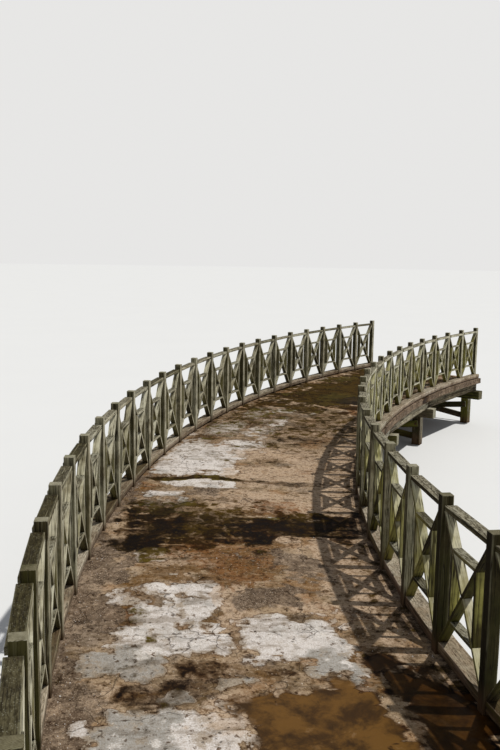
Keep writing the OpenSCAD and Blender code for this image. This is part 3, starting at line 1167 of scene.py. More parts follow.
    def plate(
        self, axes: Axes, x: Array, y: Array, top: Array, bottom: Array,
        there: Array, grain: Array, lot: Array, rows: int,
        bite: Callable[[Array], Array] | None = None, skip: int = 1,
    ) -> None:
        """Adds a plate over a grid in plan, with straight or roughened side walls.

        Args:
            axes: Its frame; u and v lie in plan and d points up.
            x, y: Plan of each grid point.
            top, bottom: Height of each grid point above and below.
            there: Which cells of the grid are solid.
            grain: Coordinates for the finish at each grid point.
            lot: Values for the finish at each grid point.
            rows: Rows of points between the top and bottom edges of the walls.
            bite: Given points of the walls, how far each is worn in along u and v, as an array of pairs.
            skip: The underside keeps every so many grid lines.
        """
        turned = axes.turned()
        rows_n, cols_n = there.shape
        used = np.zeros(x.shape, bool)
        for di, dj in itertools.product((0, 1), repeat=2):
            used[di : rows_n + di, dj : cols_n + dj] |= there
        number = np.full(x.shape, -1)
        number[used] = np.arange(used.sum())
        low_grain = grain.copy()
        low_grain[..., 2] += 0.37
        first = self.take(axes.world(x, y, top)[used], grain[used], lot[used])
        picked = np.ix_(*(np.unique(np.append(np.arange(0, n, skip), n - 1)) for n in x.shape))
        below = self.take(axes.world(x, y, bottom)[picked], low_grain[picked], lot[picked])
        coarse = below + np.arange(x[picked].size).reshape(x[picked].shape)
        kept = there[picked[0][:-1], picked[1][:, :-1]]
        under = np.stack([coarse[:-1, :-1], coarse[:-1, 1:], coarse[1:, 1:], coarse[1:, :-1]], -1)[kept]
        self.cover(under, Slot.FACE, turned)
        i, j = np.nonzero(there)
        corners = np.stack([number[i, j], number[i + 1, j], number[i + 1, j + 1], number[i, j + 1]], -1)
        self.cover(first + corners, Slot.FACE, turned)
        walls = self._edges(there)
        rim = sorted({(a, b) for wall in walls for a, b in (wall[:2], wall[2:])})
        place = {key: k for k, key in enumerate(rim)}
        ri, rj = np.array(rim).T
        stack = [first + number[ri, rj]]
        for row in range(1, rows + 1):
            share = row / (rows + 1)
            z = top[ri, rj] * (1 - share) + bottom[ri, rj] * share
            pu, pv = x[ri, rj], y[ri, rj]
            if bite is not None:
                worn = bite(np.stack([pu, pv, z], -1))
                pu, pv = pu + worn[:, 0], pv + worn[:, 1]
            wall_grain = grain[ri, rj].copy()
            wall_grain[:, 2] += z - top[ri, rj]
            start = self.take(axes.world(pu, pv, z), wall_grain, lot[ri, rj])
            stack.append(start + np.arange(len(rim)))
        foot = self.take(axes.world(x[ri, rj], y[ri, rj], bottom[ri, rj]), low_grain[ri, rj], lot[ri, rj])
        stack.append(foot + np.arange(len(rim)))
        a = np.array([place[w[:2]] for w in walls])
        b = np.array([place[w[2:]] for w in walls])
        for upper, lower in zip(stack, stack[1:]):
            self.cover(np.stack([upper[a], lower[a], lower[b], upper[b]], -1), Slot.FACE, turned)

    def stud(self, centre: Array, out: Array, radius: float, height: float, sides: int) -> None:
        """Adds the domed head of a nail or bolt.

        Args:
            centre: Point on the surface.
            out: Unit vector away from the surface.
            radius: Radius of the head.
            height: How far it stands out.
            sides: Sides of the head.
        """
        help_by = np.array([0.0, 0.0, 1.0]) if abs(out[2]) < 0.9 else np.array([1.0, 0.0, 0.0])
        one = np.cross(help_by, out)
        one /= np.linalg.norm(one)
        two = np.cross(out, one)
        angle = np.arange(sides) * 2 * math.pi / sides
        circle = np.cos(angle)[:, None] * one + np.sin(angle)[:, None] * two
        rings = ((1.0, -0.4), (1.0, 0.3), (0.8, 0.75), (0.4, 1.0))
        points = np.concatenate([centre + circle * radius * r + out * height * h for r, h in rings])
        first = self.take(points, points.copy(), np.full((len(points), 4), 0.5))
        index, quads = self._bands(first, len(rings), sides)
        self.cover(quads.reshape(-1, 4), Slot.FACE)
        self.cover(index[-1][None, :], Slot.FACE)
        self.cover(index[0][None, ::-1], Slot.FACE)

    def piece(self, name: str, finishes: Sequence[Finish], sharp: float = 38.0) -> bpy.types.Object:
        """Makes the Blender object.

        Args:
            name: Its name.
            finishes: Materials in the order of Slot.
            sharp: Angle in degrees above which an edge is not smoothed.

        Returns:
            The object, linked to the scene.
        """
        mesh = bpy.data.meshes.new(name)
        points = np.concatenate(self.points)
        totals = np.concatenate([np.full(len(f), f.shape[1]) for f in self.faces])
        corners = np.concatenate([f.reshape(-1) for f in self.faces])
        mesh.vertices.add(len(points))
        mesh.vertices.foreach_set("co", points.reshape(-1))
        mesh.loops.add(len(corners))
        mesh.loops.foreach_set("vertex_index", corners)
        mesh.polygons.add(len(totals))
        columns = {
            "loop_start": np.concatenate([[0], np.cumsum(totals)[:-1]]), "loop_total": totals,
            "material_index": np.concatenate(self.slots), "use_smooth": np.ones(len(totals), bool),
        }
        for column, values in columns.items():
            mesh.polygons.foreach_set(column, values)
        mesh.update(calc_edges=True)
        grain = mesh.attributes.new("grain", "FLOAT_VECTOR", "POINT")
        grain.data.foreach_set("vector", np.concatenate(self.grain).reshape(-1))
        values = np.concatenate(self.lot)
        for number, label in enumerate(("lot", "wash")[: values.shape[1] // 4]):
            made = mesh.attributes.new(label, "FLOAT_COLOR", "POINT")
            made.data.foreach_set("color", values[:, 4 * number : 4 * number + 4].reshape(-1))
        mesh.set_sharp_from_angle(angle=math.radians(sharp))
        for finish in finishes:
            mesh.materials.append(finish.material())
        made = bpy.data.objects.new(name, mesh)
        bpy.context.scene.collection.objects.link(made)
        LOG.info("%s: %d faces", name, len(totals))
        return made


def dress(solid: Solid, node: str, finishes: Sequence[Finish]) -> None:
    """Makes a piece, hangs it on the body and lets it stand for its CAD node.

    Args:
        solid: Its mesh.
        node: The CAD node that it replaces and is named after.
        finishes: Its materials.
    """
    made = solid.piece(f"{node}_worn", finishes)
    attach(made, BODY)
    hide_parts(node)


class Side(Enum):
    """The two edges of the path."""

    OUTER = 1
    INNER = -1

    @property
    def word(self) -> str:
        """The word that piece names start with."""
        return self.name.lower()


@dataclass(frozen=True)
class SetOut:
    """Set-out of the curved path: radii in metres, angles in radians, heights above the foot of the piles."""

    walk_r: float = 20.5
    clear_w: float = 2.72
    post_w: float = 0.09
    bay: float = math.radians(2.2)
    outer_bays: int = 24
    inner_bays: int = 21
    spans: int = 6
    slab_z: float = 0.98
    deck_z: float = 1.1
    post_top: float = 2.3
    sill_z: float = 1.12
    lattice_z: float = 1.2
    rail_z: float = 2.186
    set_back: float = 0.018

    @property
    def start(self) -> float:
        """Angle of the first posts."""
        return -self.bay * self.outer_bays / 2

    @property
    def span(self) -> float:
        """Angle from bent to bent."""
        return self.bay * self.outer_bays / self.spans

    @property
    def inner_y(self) -> float:
        """Plane of the path side of rail, lattice and sill, from the centre of the posts."""
        return self.set_back - self.post_w / 2

    def radius(self, side: Side) -> float:
        """Radius of a row of posts."""
        return self.walk_r + side.value * (self.clear_w + self.post_w) / 2

    def bays(self, side: Side) -> int:
        """Number of bays in a row."""
        return self.outer_bays if side is Side.OUTER else self.inner_bays

    def step(self, side: Side) -> float:
        """Angle of one bay of a row."""
        return self.bay * self.outer_bays / self.bays(side)

    def chord(self, side: Side) -> float:
        """Distance between the centres of two neighbouring posts."""
        return 2 * self.radius(side) * math.sin(self.step(side) / 2)

    def axes(self, r: float, a: float, side: Side, z: float = 0.0) -> Axes:
        """Makes a frame: u along the path, v away from it, d up.

        Args:
            r: Radius.
            a: Angle.
            side: Which edge of the path.
            z: Height.

        Returns:
            The frame.
        """
        sign = side.value
        origin = np.array([r * math.sin(a), r * math.cos(a) - self.walk_r, z])
        along = sign * np.array([math.cos(a), -math.sin(a), 0.0])
        out = sign * np.array([math.sin(a), math.cos(a), 0.0])
        return Axes(origin, along, out, np.array([0.0, 0.0, 1.0]))

    def bay_axes(self, side: Side, index: int) -> Axes:
        """Frame at the middle of a bay."""
        half = self.step(side) / 2
        return self.axes(self.radius(side) * math.cos(half), self.start + (2 * index + 1) * half, side)

    def post_axes(self, side: Side, index: int) -> Axes:
        """Frame at a post."""
        return self.axes(self.radius(side), self.start + index * self.step(side), side)


PLAN = SetOut()


@dataclass(frozen=True)
class HalfPlane:
    """A cut in the plane of a bay: x * nx + z * nz stays under limit + y * slope."""

    nx: float
    nz: float
    limit: float
    slope: float = 0.0


# Tone ranges of the outer rails from the near end: the first four are dark as painted shade, with damp.
OUTER_TONES: tuple[Span, ...] = ((0.0, 0.2), (0.0, 0.1), (0.0, 0.1), (0.0, 0.05), (0.0, 1.0))


@dataclass
class Railing:
    """One edge of the path: posts, top rails, lattices, sills and the packers under them."""

    side: Side
    plan: SetOut = PLAN
    post_ease: float = 6 * MM
    head_rings: Span = (22 * MM, 34 * MM)
    rail_over: float = 22 * MM
    rail_t: float = 42 * MM
    rail_ease: float = 5 * MM
    board_t: float = 30 * MM
    board_ease: float = 2.5 * MM
    rect_at: float = 0.23
    sill_over: float = 78 * MM
    sill_h: float = 80 * MM
    sill_ease: float = 6 * MM
    sill_joint: float = 3 * MM
    packer_in: float = 8 * MM
    packer_ease: float = 1.5 * MM
    post_wear: Wear = Wear(1.1 * MM, 1.4 * MM, 3.0 * MM)
    rail_wear: Wear = Wear(1.2 * MM, 1.6 * MM, 3.0 * MM)
    sill_wear: Wear = Wear(1.4 * MM, 2.2 * MM, 0.0)
    packer_wear: Wear = Wear(0.6 * MM, 0.5 * MM, 1.0 * MM)
    board_wear: Wear = Wear(0.9 * MM, 0.9 * MM, 2.0 * MM)
    rail_gap: float = 0.4 * MM
    lattice_gap: float = 0.5 * MM
    lattice_in: float = 1.5 * MM
    check_top: float = 2.36
    nail_r: float = 3.4 * MM
    nail_h: float = 1.6 * MM
    nail_rows: Span = (0.0, 38 * MM)
    shady_posts: int = 4
    per_lattice: int = 4
    lattice_finish: TimberFinish = LATTICE_TIMBER
    rail_tones: Sequence[Span] = ((0.0, 1.0),)
    seed: int = 11

    def __post_init__(self) -> None:
        """Works out what the methods share."""
        self.dice = random.Random(self.seed)
        self.half = self.plan.step(self.side) / 2
        self.length = self.plan.chord(self.side)
        self.post_h = self.plan.post_w / 2
        self.word = self.side.word

    def face_x(self, y: Array | float) -> Array | float:
        """Half length of a bay between the faces of its posts, at a distance out from the path."""
        return self.length / 2 - self.post_h / math.cos(self.half) + self.side.value * y * math.tan(self.half)

    def build(self) -> None:
        """Builds and dresses the whole railing."""
        self.posts()
        self.rails()
        self.sills()
        self.packers()
        self.lattices()
        self.fixings()

    def posts(self) -> None:
        """Square posts with eased heads and long drying checks."""
        solid = Solid()
        plan = self.plan
        half, ease = self.post_h, self.post_ease
        rounding = ((1, 0), (0.45, 0.2), (0.08, 0.75), (0, 1.5))
        head = [(ease * drop, ease * inset) for drop, inset in rounding]
        head += [(0, inset) for inset in self.head_rings]
        for index in range(plan.bays(self.side) + 1):
            at = plan.post_axes(self.side, index)
            axes = Axes(at.origin, at.d, at.u, at.v)
            ring = Ring.box(-half, half, -half, half, ease, 9, 9)
            checks = []
            for face, chance in zip(ring.faces, (1.0, 0.7, 0.7, 0.7)):
                if self.dice.random() < chance:
                    place = face[self.dice.choice((3, 4, 5))]
                    ring = ring.squeezed(place, self.dice.uniform(1.4, 2.8) * MM)
                    start = plan.deck_z + self.dice.uniform(-0.1, 0.5)
                    end = min(start + self.dice.uniform(0.45, 1.0), self.check_top)
                    checks.append(Check(place, self.dice.uniform(7, 13) * MM, start, end))
            low = np.full(len(ring.v), plan.deck_z - 6 * MM)
            high = np.full(len(ring.v), plan.post_top)
            # The nearest posts are drawn dark: painted shade, with damp.
            lot = Lot.draw(self.dice, tone=(0.0, 0.35) if index < self.shady_posts else (0.45, 1.0))
            solid.sweep(axes, ring, low, high, 18, self.post_wear, lot, checks, head=head)
        dress(solid, f"{self.word}_posts", (POST_TIMBER, TIMBER_END))

    def rails(self) -> None:
        """Flat top rails, cut between the posts."""
        solid = Solid()
        z0, z1 = self.plan.rail_z, self.plan.rail_z + self.rail_t
        y0, y1 = self.plan.inner_y, self.post_h + self.rail_over
        for index in range(self.plan.bays(self.side)):
            at = self.plan.bay_axes(self.side, index)
            ring = Ring.box(z0, z1, y0, y1, self.rail_ease, 5, 10)
            checks = []
            if self.dice.random() < 0.75:
                place = ring.faces[1][self.dice.choice((3, 4, 5, 6))]
                ring = ring.squeezed(place, self.dice.uniform(1.2, 2.2) * MM)
                start, depth = self.dice.uniform(-0.5, 0.0), self.dice.uniform(4, 9) * MM
                checks.append(Check(place, depth, start, start + self.dice.uniform(0.3, 0.7)))
            reach = self.face_x(ring.d) - self.rail_gap
            lot = Lot.draw(self.dice, tone=self.rail_tones[min(index, len(self.rail_tones) - 1)])
            axes = Axes(at.origin, at.u, at.d, at.v)
            solid.sweep(axes, ring, -reach, reach, 16, self.rail_wear, lot, checks)
        dress(solid, f"{self.word}_top_rails", (RAIL_TIMBER, TIMBER_END))

    def sills(self) -> None:
        """Sill beams, notched round the posts."""
        solid = Solid()
        plan = self.plan
        y0, y1, y2 = plan.inner_y, self.post_h, self.post_h + self.sill_over
        z0, z1 = plan.sill_z, plan.sill_z + self.sill_h
        ease = self.sill_ease
        lip = ease * np.array((0.0, 0.13, 0.5, 1.0))
        inner, outer = np.linspace(y0 + ease, y1, 6)[1:], np.linspace(y1, y2 - ease, 7)[1:]
        y = np.concatenate([y0 + lip, inner, outer, y2 - lip[-2::-1]])
        fall = np.zeros(len(y))
        fall[:4], fall[-4:] = lip[::-1], lip
        face = self.face_x(y)
        mid = self.length / 2 + self.side.value * y * math.tan(self.half)
        share = np.linspace(-1, 1, 16)[:, None]
        last = plan.bays(self.side) - 1
        ends = (0, last) if self.side is Side.OUTER else (last, 0)
        for index in range(last + 1):
            more = [plan.post_w / 2 if index == end else -self.sill_joint / 2 for end in ends]
            x = np.concatenate([[-mid - more[0]], share * face[None, :], [mid + more[1]]])
            grid_y = np.broadcast_to(y, x.shape)
            lot = Lot.draw(self.dice, 0.5)
            worn = self.sill_wear.depth(x + lot.shift[0], grid_y, 0 * x, 0 * x, lot.seed)
            there = np.ones((x.shape[0] - 1, x.shape[1] - 1), bool)
            there[0] = there[-1] = y[:-1] >= y1 - 1e-9
            grain = np.stack([x, grid_y, 0 * x], -1) + np.array(lot.shift)
            values = np.empty((*x.shape, 4))
            values[...] = (lot.tone, lot.warm, lot.green, 0)
            values[:, :3, 3] = values[:, -3:, 3] = 1
            top, bottom = z1 - fall - worn, np.broadcast_to(z0 + fall, x.shape)
            bay = plan.bay_axes(self.side, index)
            solid.plate(bay, x, grid_y, top, bottom, there, grain, values, rows=2)
        dress(solid, f"{self.word}_sills", (SILL_TIMBER, TIMBER_END))

    def packers(self) -> None:
        """Short blocks that hold the sills off the deck."""
        solid = Solid()
        half = self.post_h
        y0, y1 = half + self.packer_in, half + self.sill_over - self.packer_in
        z0, z1 = self.plan.deck_z, self.plan.sill_z
        for index in range(self.plan.bays(self.side) + 1):
            at = self.plan.post_axes(self.side, index)
            axes = Axes(at.origin, at.u, at.d, at.v)
            ring = Ring.box(z0, z1, y0, y1, self.packer_ease, 3, 5)
            reach = np.full(len(ring.v), half)
            solid.sweep(axes, ring, -reach, reach, 5, self.packer_wear, Lot.draw(self.dice))
        dress(solid, f"{self.word}_packers", (SILL_TIMBER, TIMBER_END))

    def board(
        self, solid: Solid, bay: Axes, centre: Span, lean: float, cuts: Iterable[HalfPlane], steps: int
    ) -> None:
        """Adds one board of a lattice, cut to half planes.

        Args:
            solid: Where it goes.
            bay: Frame of the bay.
            centre: A point on its middle line, along the bay and up.
            lean: Angle of the board from level.
            cuts: Planes that end it.
            steps: Stations along it.
        """
        c, s = math.cos(lean), math.sin(lean)
        origin = bay.origin + centre[0] * bay.u + centre[1] * bay.d
        axes = Axes(origin, c * bay.u + s * bay.d, c * bay.d - s * bay.u, bay.v)
        half = self.board_t / 2
        ring = Ring.box(-half, half, self.plan.inner_y, self.post_h, self.board_ease, 5, 7)
        low, high = np.full(len(ring.v), -math.inf), np.full(len(ring.v), math.inf)
        for cut in cuts:
            along = cut.nx * c + cut.nz * s
            across = cut.nz * c - cut.nx * s
            room = cut.limit + cut.slope * ring.d - cut.nx * centre[0] - cut.nz * centre[1] - across * ring.v
            if along > 1e-6:
                high = np.minimum(high, room / along)
            elif along < -1e-6:
                low = np.maximum(low, room / along)
        lot = Lot.draw(self.dice, 0.25, (0.25, 1.0))
        solid.sweep(axes, ring, low, high, steps, self.board_wear, lot, end_ease=0.8 * MM)

    def lattice(self, solid: Solid, index: int) -> None:
        """Adds the lattice of one bay: two diagonals and the rectangle between them.

        Args:
            solid: Where it goes.
            index: Which bay.
        """
        bay = self.plan.bay_axes(self.side, index)
        wide = self.length / 2 - self.post_h
        low, high = self.plan.lattice_z, self.plan.rail_z
        tall, middle = (high - low) / 2, (low + high) / 2
        lean = math.atan2(tall, wide)
        slope = self.side.value * math.tan(self.half)
        reach = self.length / 2 - self.post_h / math.cos(self.half) - self.lattice_gap
        opening = [HalfPlane(sign, 0, reach, slope) for sign in (1, -1)]
        opening += [HalfPlane(0, 1, high + self.lattice_in), HalfPlane(0, -1, -low + self.lattice_in)]
        half = self.board_t / 2
        c, s = math.cos(lean), math.sin(lean)
        rising, falling = (
            {sign: HalfPlane(turn * sign * s, sign * c, sign * middle * c - half) for sign in (1, -1)}
            for turn in (-1, 1)
        )
        whole, parted, stopping = (lean, -lean, rising) if index % 2 == 0 else (-lean, lean, falling)
        self.board(solid, bay, (0, middle), whole, opening, 14)
        for sign in (1, -1):
            self.board(solid, bay, (0, middle), parted, [*opening, stopping[sign]], 8)
        rx, rz = wide * (1 - 2 * self.rect_at), tall * (1 - 2 * self.rect_at)
        for sign in (1, -1):
            self.board(solid, bay, (0, middle + sign * rz), 0.0, [rising[-sign], falling[-sign]], 8)
            self.board(solid, bay, (sign * rx, middle), math.pi / 2, [rising[sign], falling[-sign]], 8)

    def lattices(self) -> None:
        """All lattices of the row, grouped as the CAD nodes are."""
        total = self.plan.bays(self.side)
        for group, first in enumerate(range(0, total, self.per_lattice), 1):
            solid = Solid()
            for index in range(first, min(first + self.per_lattice, total)):
                self.lattice(solid, index)
            dress(solid, f"{self.word}_lattice_{group}", (self.lattice_finish, TIMBER_END))

    def fixings(self) -> None:
        """Nails in the ends of the rails and in the crossings of the lattice."""
        solid = Solid()
        plan = self.plan
        up = np.array([0.0, 0.0, 1.0])
        top = plan.rail_z + self.rail_t - self.nail_h
        middle = (plan.lattice_z + plan.rail_z) / 2
        share = 1 - 2 * self.rect_at
        wide, tall = (self.length / 2 - self.post_h) * share, (plan.rail_z - plan.lattice_z) / 2 * share
        for index in range(plan.bays(self.side)):
            bay = plan.bay_axes(self.side, index)
            for end in (-1, 1):
                for y in self.nail_rows:
                    x = end * (self.face_x(y) - self.dice.uniform(26, 34) * MM)
                    solid.stud(bay.origin + x * bay.u + y * bay.v + top * up, up, self.nail_r, self.nail_h, 8)
            for x, z in ((0, 0), (wide, tall), (-wide, tall), (wide, -tall), (-wide, -tall)):
                x, z = (value + self.dice.uniform(-3, 3) * MM for value in (x, z))
                place = bay.origin + x * bay.u + (plan.inner_y + 0.6 * MM) * bay.v + (middle + z) * up
                solid.stud(place, -bay.v, self.nail_r, self.nail_h, 6)
        made = solid.piece(f"{self.word}_nails", (FIXING_IRON,))
        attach(made, BODY)


class Layer(Enum):
    """What lies on the deck; the order is that of the values that the finish reads."""

    BARE = 0
    CLAY = 1
    WET = 2
    SOIL = 3
    ROSY = 4
    RUST = 5
    STAIN = 6
    COOL = 7


@dataclass(frozen=True)
class Patch:
    """A patch of the deck's surface, from and to in metres along the path and out from its middle."""

    s0: float
    s1: float
    t0: float
    t1: float
    strength: float = 1.0
    square: float = 4.0
    lean: float = 0.0

    def inside(self, s: Array, t: Array) -> Array:
        """How far inside the patch points lie.

        Args:
            s, t: Metres along the path and out from its middle.

        Returns:
            1 in the middle of the patch, 0 at its edge and less outside it.
        """
        middle_s, middle_t = (self.s0 + self.s1) / 2, (self.t0 + self.t1) / 2
        a = np.abs((s - middle_s - self.lean * (t - middle_t)) / (self.s1 - self.s0) * 2)
        b = np.abs((t - middle_t) / (self.t1 - self.t0) * 2)
        return 1 - (a**self.square + b**self.square) ** (1 / self.square)


# Each row: from and to along the path, from and to across it, then strength, squareness and lean.
PATCH_ROWS: dict[Layer, tuple[tuple[float, ...], ...]] = {
    Layer.BARE: (
        (1.15, 2.15, 0.12, 1.1, 1, 4, 0.1), (2.47, 2.9, 0.63, 1.2), (2.78, 3.3, 0.08, 1.02, 1, 5),
        (3.15, 4.13, 0.13, 0.52, 1, 9), (3.86, 4.13, 0.3, 0.76, 1, 6), (3.72, 4.13, 0.66, 1.05, 0.58),
        (3.15, 3.7, 0.36, 0.84), (3.6, 3.95, 0.4, 0.66, 0.9), (2.6, 3.42, -0.8, 0.04, 1.15, 8),
        (2.2, 2.66, -0.78, -0.38), (2.2, 2.36, 0.4, 0.64), (2.28, 2.52, -0.05, 0.3, 0.8),
        (1.88, 2.04, 1.1, 1.34, 0.8), (4.68, 5.02, 0.62, 1.04, 0.9), (4.25, 4.35, 0.58, 0.68, 0.8),
        (6.05, 6.7, 0.4, 1.26, 0.66), (6.7, 6.97, 0.68, 1.18, 1, 5), (5.98, 6.1, -0.6, -0.2, 0.7),
        (7.12, 7.5, 0.08, 0.98, 1, 5), (7.6, 9.55, 0.28, 1.38, 1.15, 7), (7.72, 8.22, 1.05, 1.36, 0.9),
        (8.25, 8.8, 0.22, 0.6, 1), (9.1, 9.98, 0.02, 0.9, 0.85), (10.1, 10.42, 0.18, 0.62, 0.85),
        (10.1, 11.2, 0.55, 1.25, 0.8), (1.5, 1.9, -1.25, -0.95, 0.7), (11.4, 12.62, 0.58, 1.12, 0.78),
        (12.2, 12.6, 0.22, 0.62, 0.9), (12.1, 12.7, -0.22, -0.08, 0.8), (10.35, 11, 0.05, 0.45, 0.7),
        (11.05, 11.9, 0.05, 0.42, 0.7),
    ),
    Layer.CLAY: (
        (4.12, 5.45, -0.62, 0.95, 1.1, 4), (3.3, 3.95, 0.6, 1.12, 0.7), (6.02, 6.6, -0.75, 0.1, 0.8),
        (2.1, 2.8, -0.9, -0.7), (7.42, 7.58, -1.3, 1.3, 0.8), (12.4, 13.9, -1.1, -0.3, 0.8),
        (3.75, 4.4, -0.8, -0.55, 0.9), (9.6, 10.1, 0.8, 1.35, 0.9),
    ),
    # Wet ground; the rows from 4.95 to 6.25 m, across the dark band, are partly painted shade.
    Layer.WET: (
        (0.95, 2.32, -0.88, 0.22, 1, 3.5), (1.2, 2.62, -1.42, -0.8, 0.9), (2.14, 2.5, 0.34, 1.1, 0.66),
        (2.34, 2.78, -0.1, 0.66, 0.58), (2.42, 2.66, -0.52, -0.05, 0.6), (5.2, 6.1, -1.1, 0.35, 0.64),
        (4.95, 6.25, 0.25, 1.4, 0.62, 4), (5.3, 6.2, -1.36, -0.85, 0.62), (8.36, 8.8, -0.42, 0.06, 0.42),
        (10.72, 11.26, 0.42, 0.88, 0.5), (9.7, 10.42, -0.8, -0.05, 0.46), (13.5, 14.9, -0.9, -0.1, 0.7),
    ),
    Layer.SOIL: (
        (3.58, 4.12, -0.56, -0.04, 0.9), (4, 5.1, -0.86, -0.36, 1, 4), (3.1, 5.6, 1, 1.5, 0.9),
        (6.7, 7.1, 0.25, 0.65, 0.7), (6.5, 7.9, 1.22, 1.5, 0.8), (2.6, 2.95, -0.12, 0.06, 0.6),
        (7.42, 7.6, -1.3, 1.3, 0.6), (1.6, 2.8, 1, 1.55, 0.9), (2.2, 2.5, 0.2, 1.1, 0.6),
    ),
    Layer.ROSY: (
        (3.32, 4.15, -0.12, 0.16), (6.2, 7.1, -0.82, 0.42, 1, 5), (7.6, 8.4, -1, 0.3, 1, 5),
        (8.6, 9.42, -1, 0.36, 1, 4), (10.25, 11, -0.85, 0.1, 0.8), (4.5, 5, 0.2, 0.9, 0.6),
        (11.3, 12.2, -0.95, -0.45, 0.7), (3.38, 3.75, -0.85, -0.35, 0.7), (5.15, 5.45, -0.75, -0.4, 0.7),
        (1.6, 2.3, 0.1, 0.5, 0.6), (2.7, 10.2, -1.5, -0.72, 0.85, 8),
    ),
    Layer.RUST: (
        (3.48, 3.7, 0.84, 1.16), (4.1, 5.35, -0.45, 0.6, 0.66), (6.2, 6.66, -0.72, -0.1, 0.9),
        (3.5, 4.05, -0.8, -0.5, 0.6), (12.5, 13.7, -0.95, -0.4, 0.8), (1.6, 2.3, -0.85, -0.3, 0.5),
        (7, 7.3, 0.95, 1.25, 0.7), (8, 8.3, -0.9, -0.5, 0.5),
    ),
    # Stains: damp dark ground, and painted shade where shadows lay: the right verge under the railing, the
    # band at 5 to 6.6 m and the far end.
    Layer.STAIN: (
        (2.12, 2.52, 0.32, 1.1, 0.6), (2.32, 2.8, -0.12, 0.66, 0.56), (2.4, 2.66, -0.52, -0.05, 0.5),
        (3.28, 3.7, 0.72, 1.05, 0.62), (4.85, 6.3, -0.1, 1.4, 0.95, 4), (5.25, 6.2, -1.2, 0.25, 1, 4),
        (4.15, 5.3, -0.5, 1, 0.5), (6, 6.6, 0, 1.25, 0.8), (8.3, 8.9, -0.5, 0.1, 0.6),
        (8.44, 8.58, 0.38, 0.52, 1), (9.38, 9.62, 0.18, 0.72, 0.8), (10.7, 11.3, 0.4, 0.9, 0.75),
        (9.62, 10.05, 0.84, 1.32, 0.75), (9.5, 10.5, -0.9, 0, 0.62), (1.1, 2.7, -1.5, -0.8, 0.9),
        (7.4, 7.6, -1.3, 0.4, 0.6), (7.42, 7.6, 0.1, 1.35, 1.1), (2.98, 3.14, 0.6, 0.74, 0.9),
        (12.3, 19, -1.3, 1.5, 1.15, 6), (9.6, 12.9, -1.2, 0.3, 0.76, 4), (10.3, 12.9, 0.1, 1.5, 0.76, 4),
        (1.6, 12, -1.7, -1.1, 0.62, 8), (2.5, 10.6, -1.6, -0.8, 0.46, 9), (4.95, 6.62, -0.46, 0.66, 0.84, 5),
        (2.15, 2.95, 0.45, 1.45, 0.46), (8.35, 9.7, 0.2, 1.4, 0.47), (8.8, 10.2, -1.1, -0.2, 0.55),
        (9.9, 11.3, 0.3, 1.45, 0.62), (12.3, 13.2, -0.4, 0.8, 1),
    ),
    Layer.COOL: (
        (1.1, 2.2, 0.5, 1.14), (2.44, 2.92, 0.6, 1.24), (6, 6.75, 0.35, 1.3), (2.1, 2.7, -0.8, 0.7),
        (12.4, 17, -0.4, 1.4, 0.9), (7.1, 7.5, 0.1, 0.9, 0.4), (8.2, 9.4, 0.8, 1.35, 0.45),
    ),
}
PATCHES: dict[Layer, list[Patch]] = {
    layer: [Patch(*row) for row in rows] for layer, rows in PATCH_ROWS.items()
}
RAGGED: dict[Layer, float] = {
    Layer.BARE: 0.8, Layer.CLAY: 1.2, Layer.WET: 0.9, Layer.SOIL: 1.2, Layer.ROSY: 1.0, Layer.RUST: 1.2,
    Layer.STAIN: 1.2, Layer.COOL: 0.8,
}


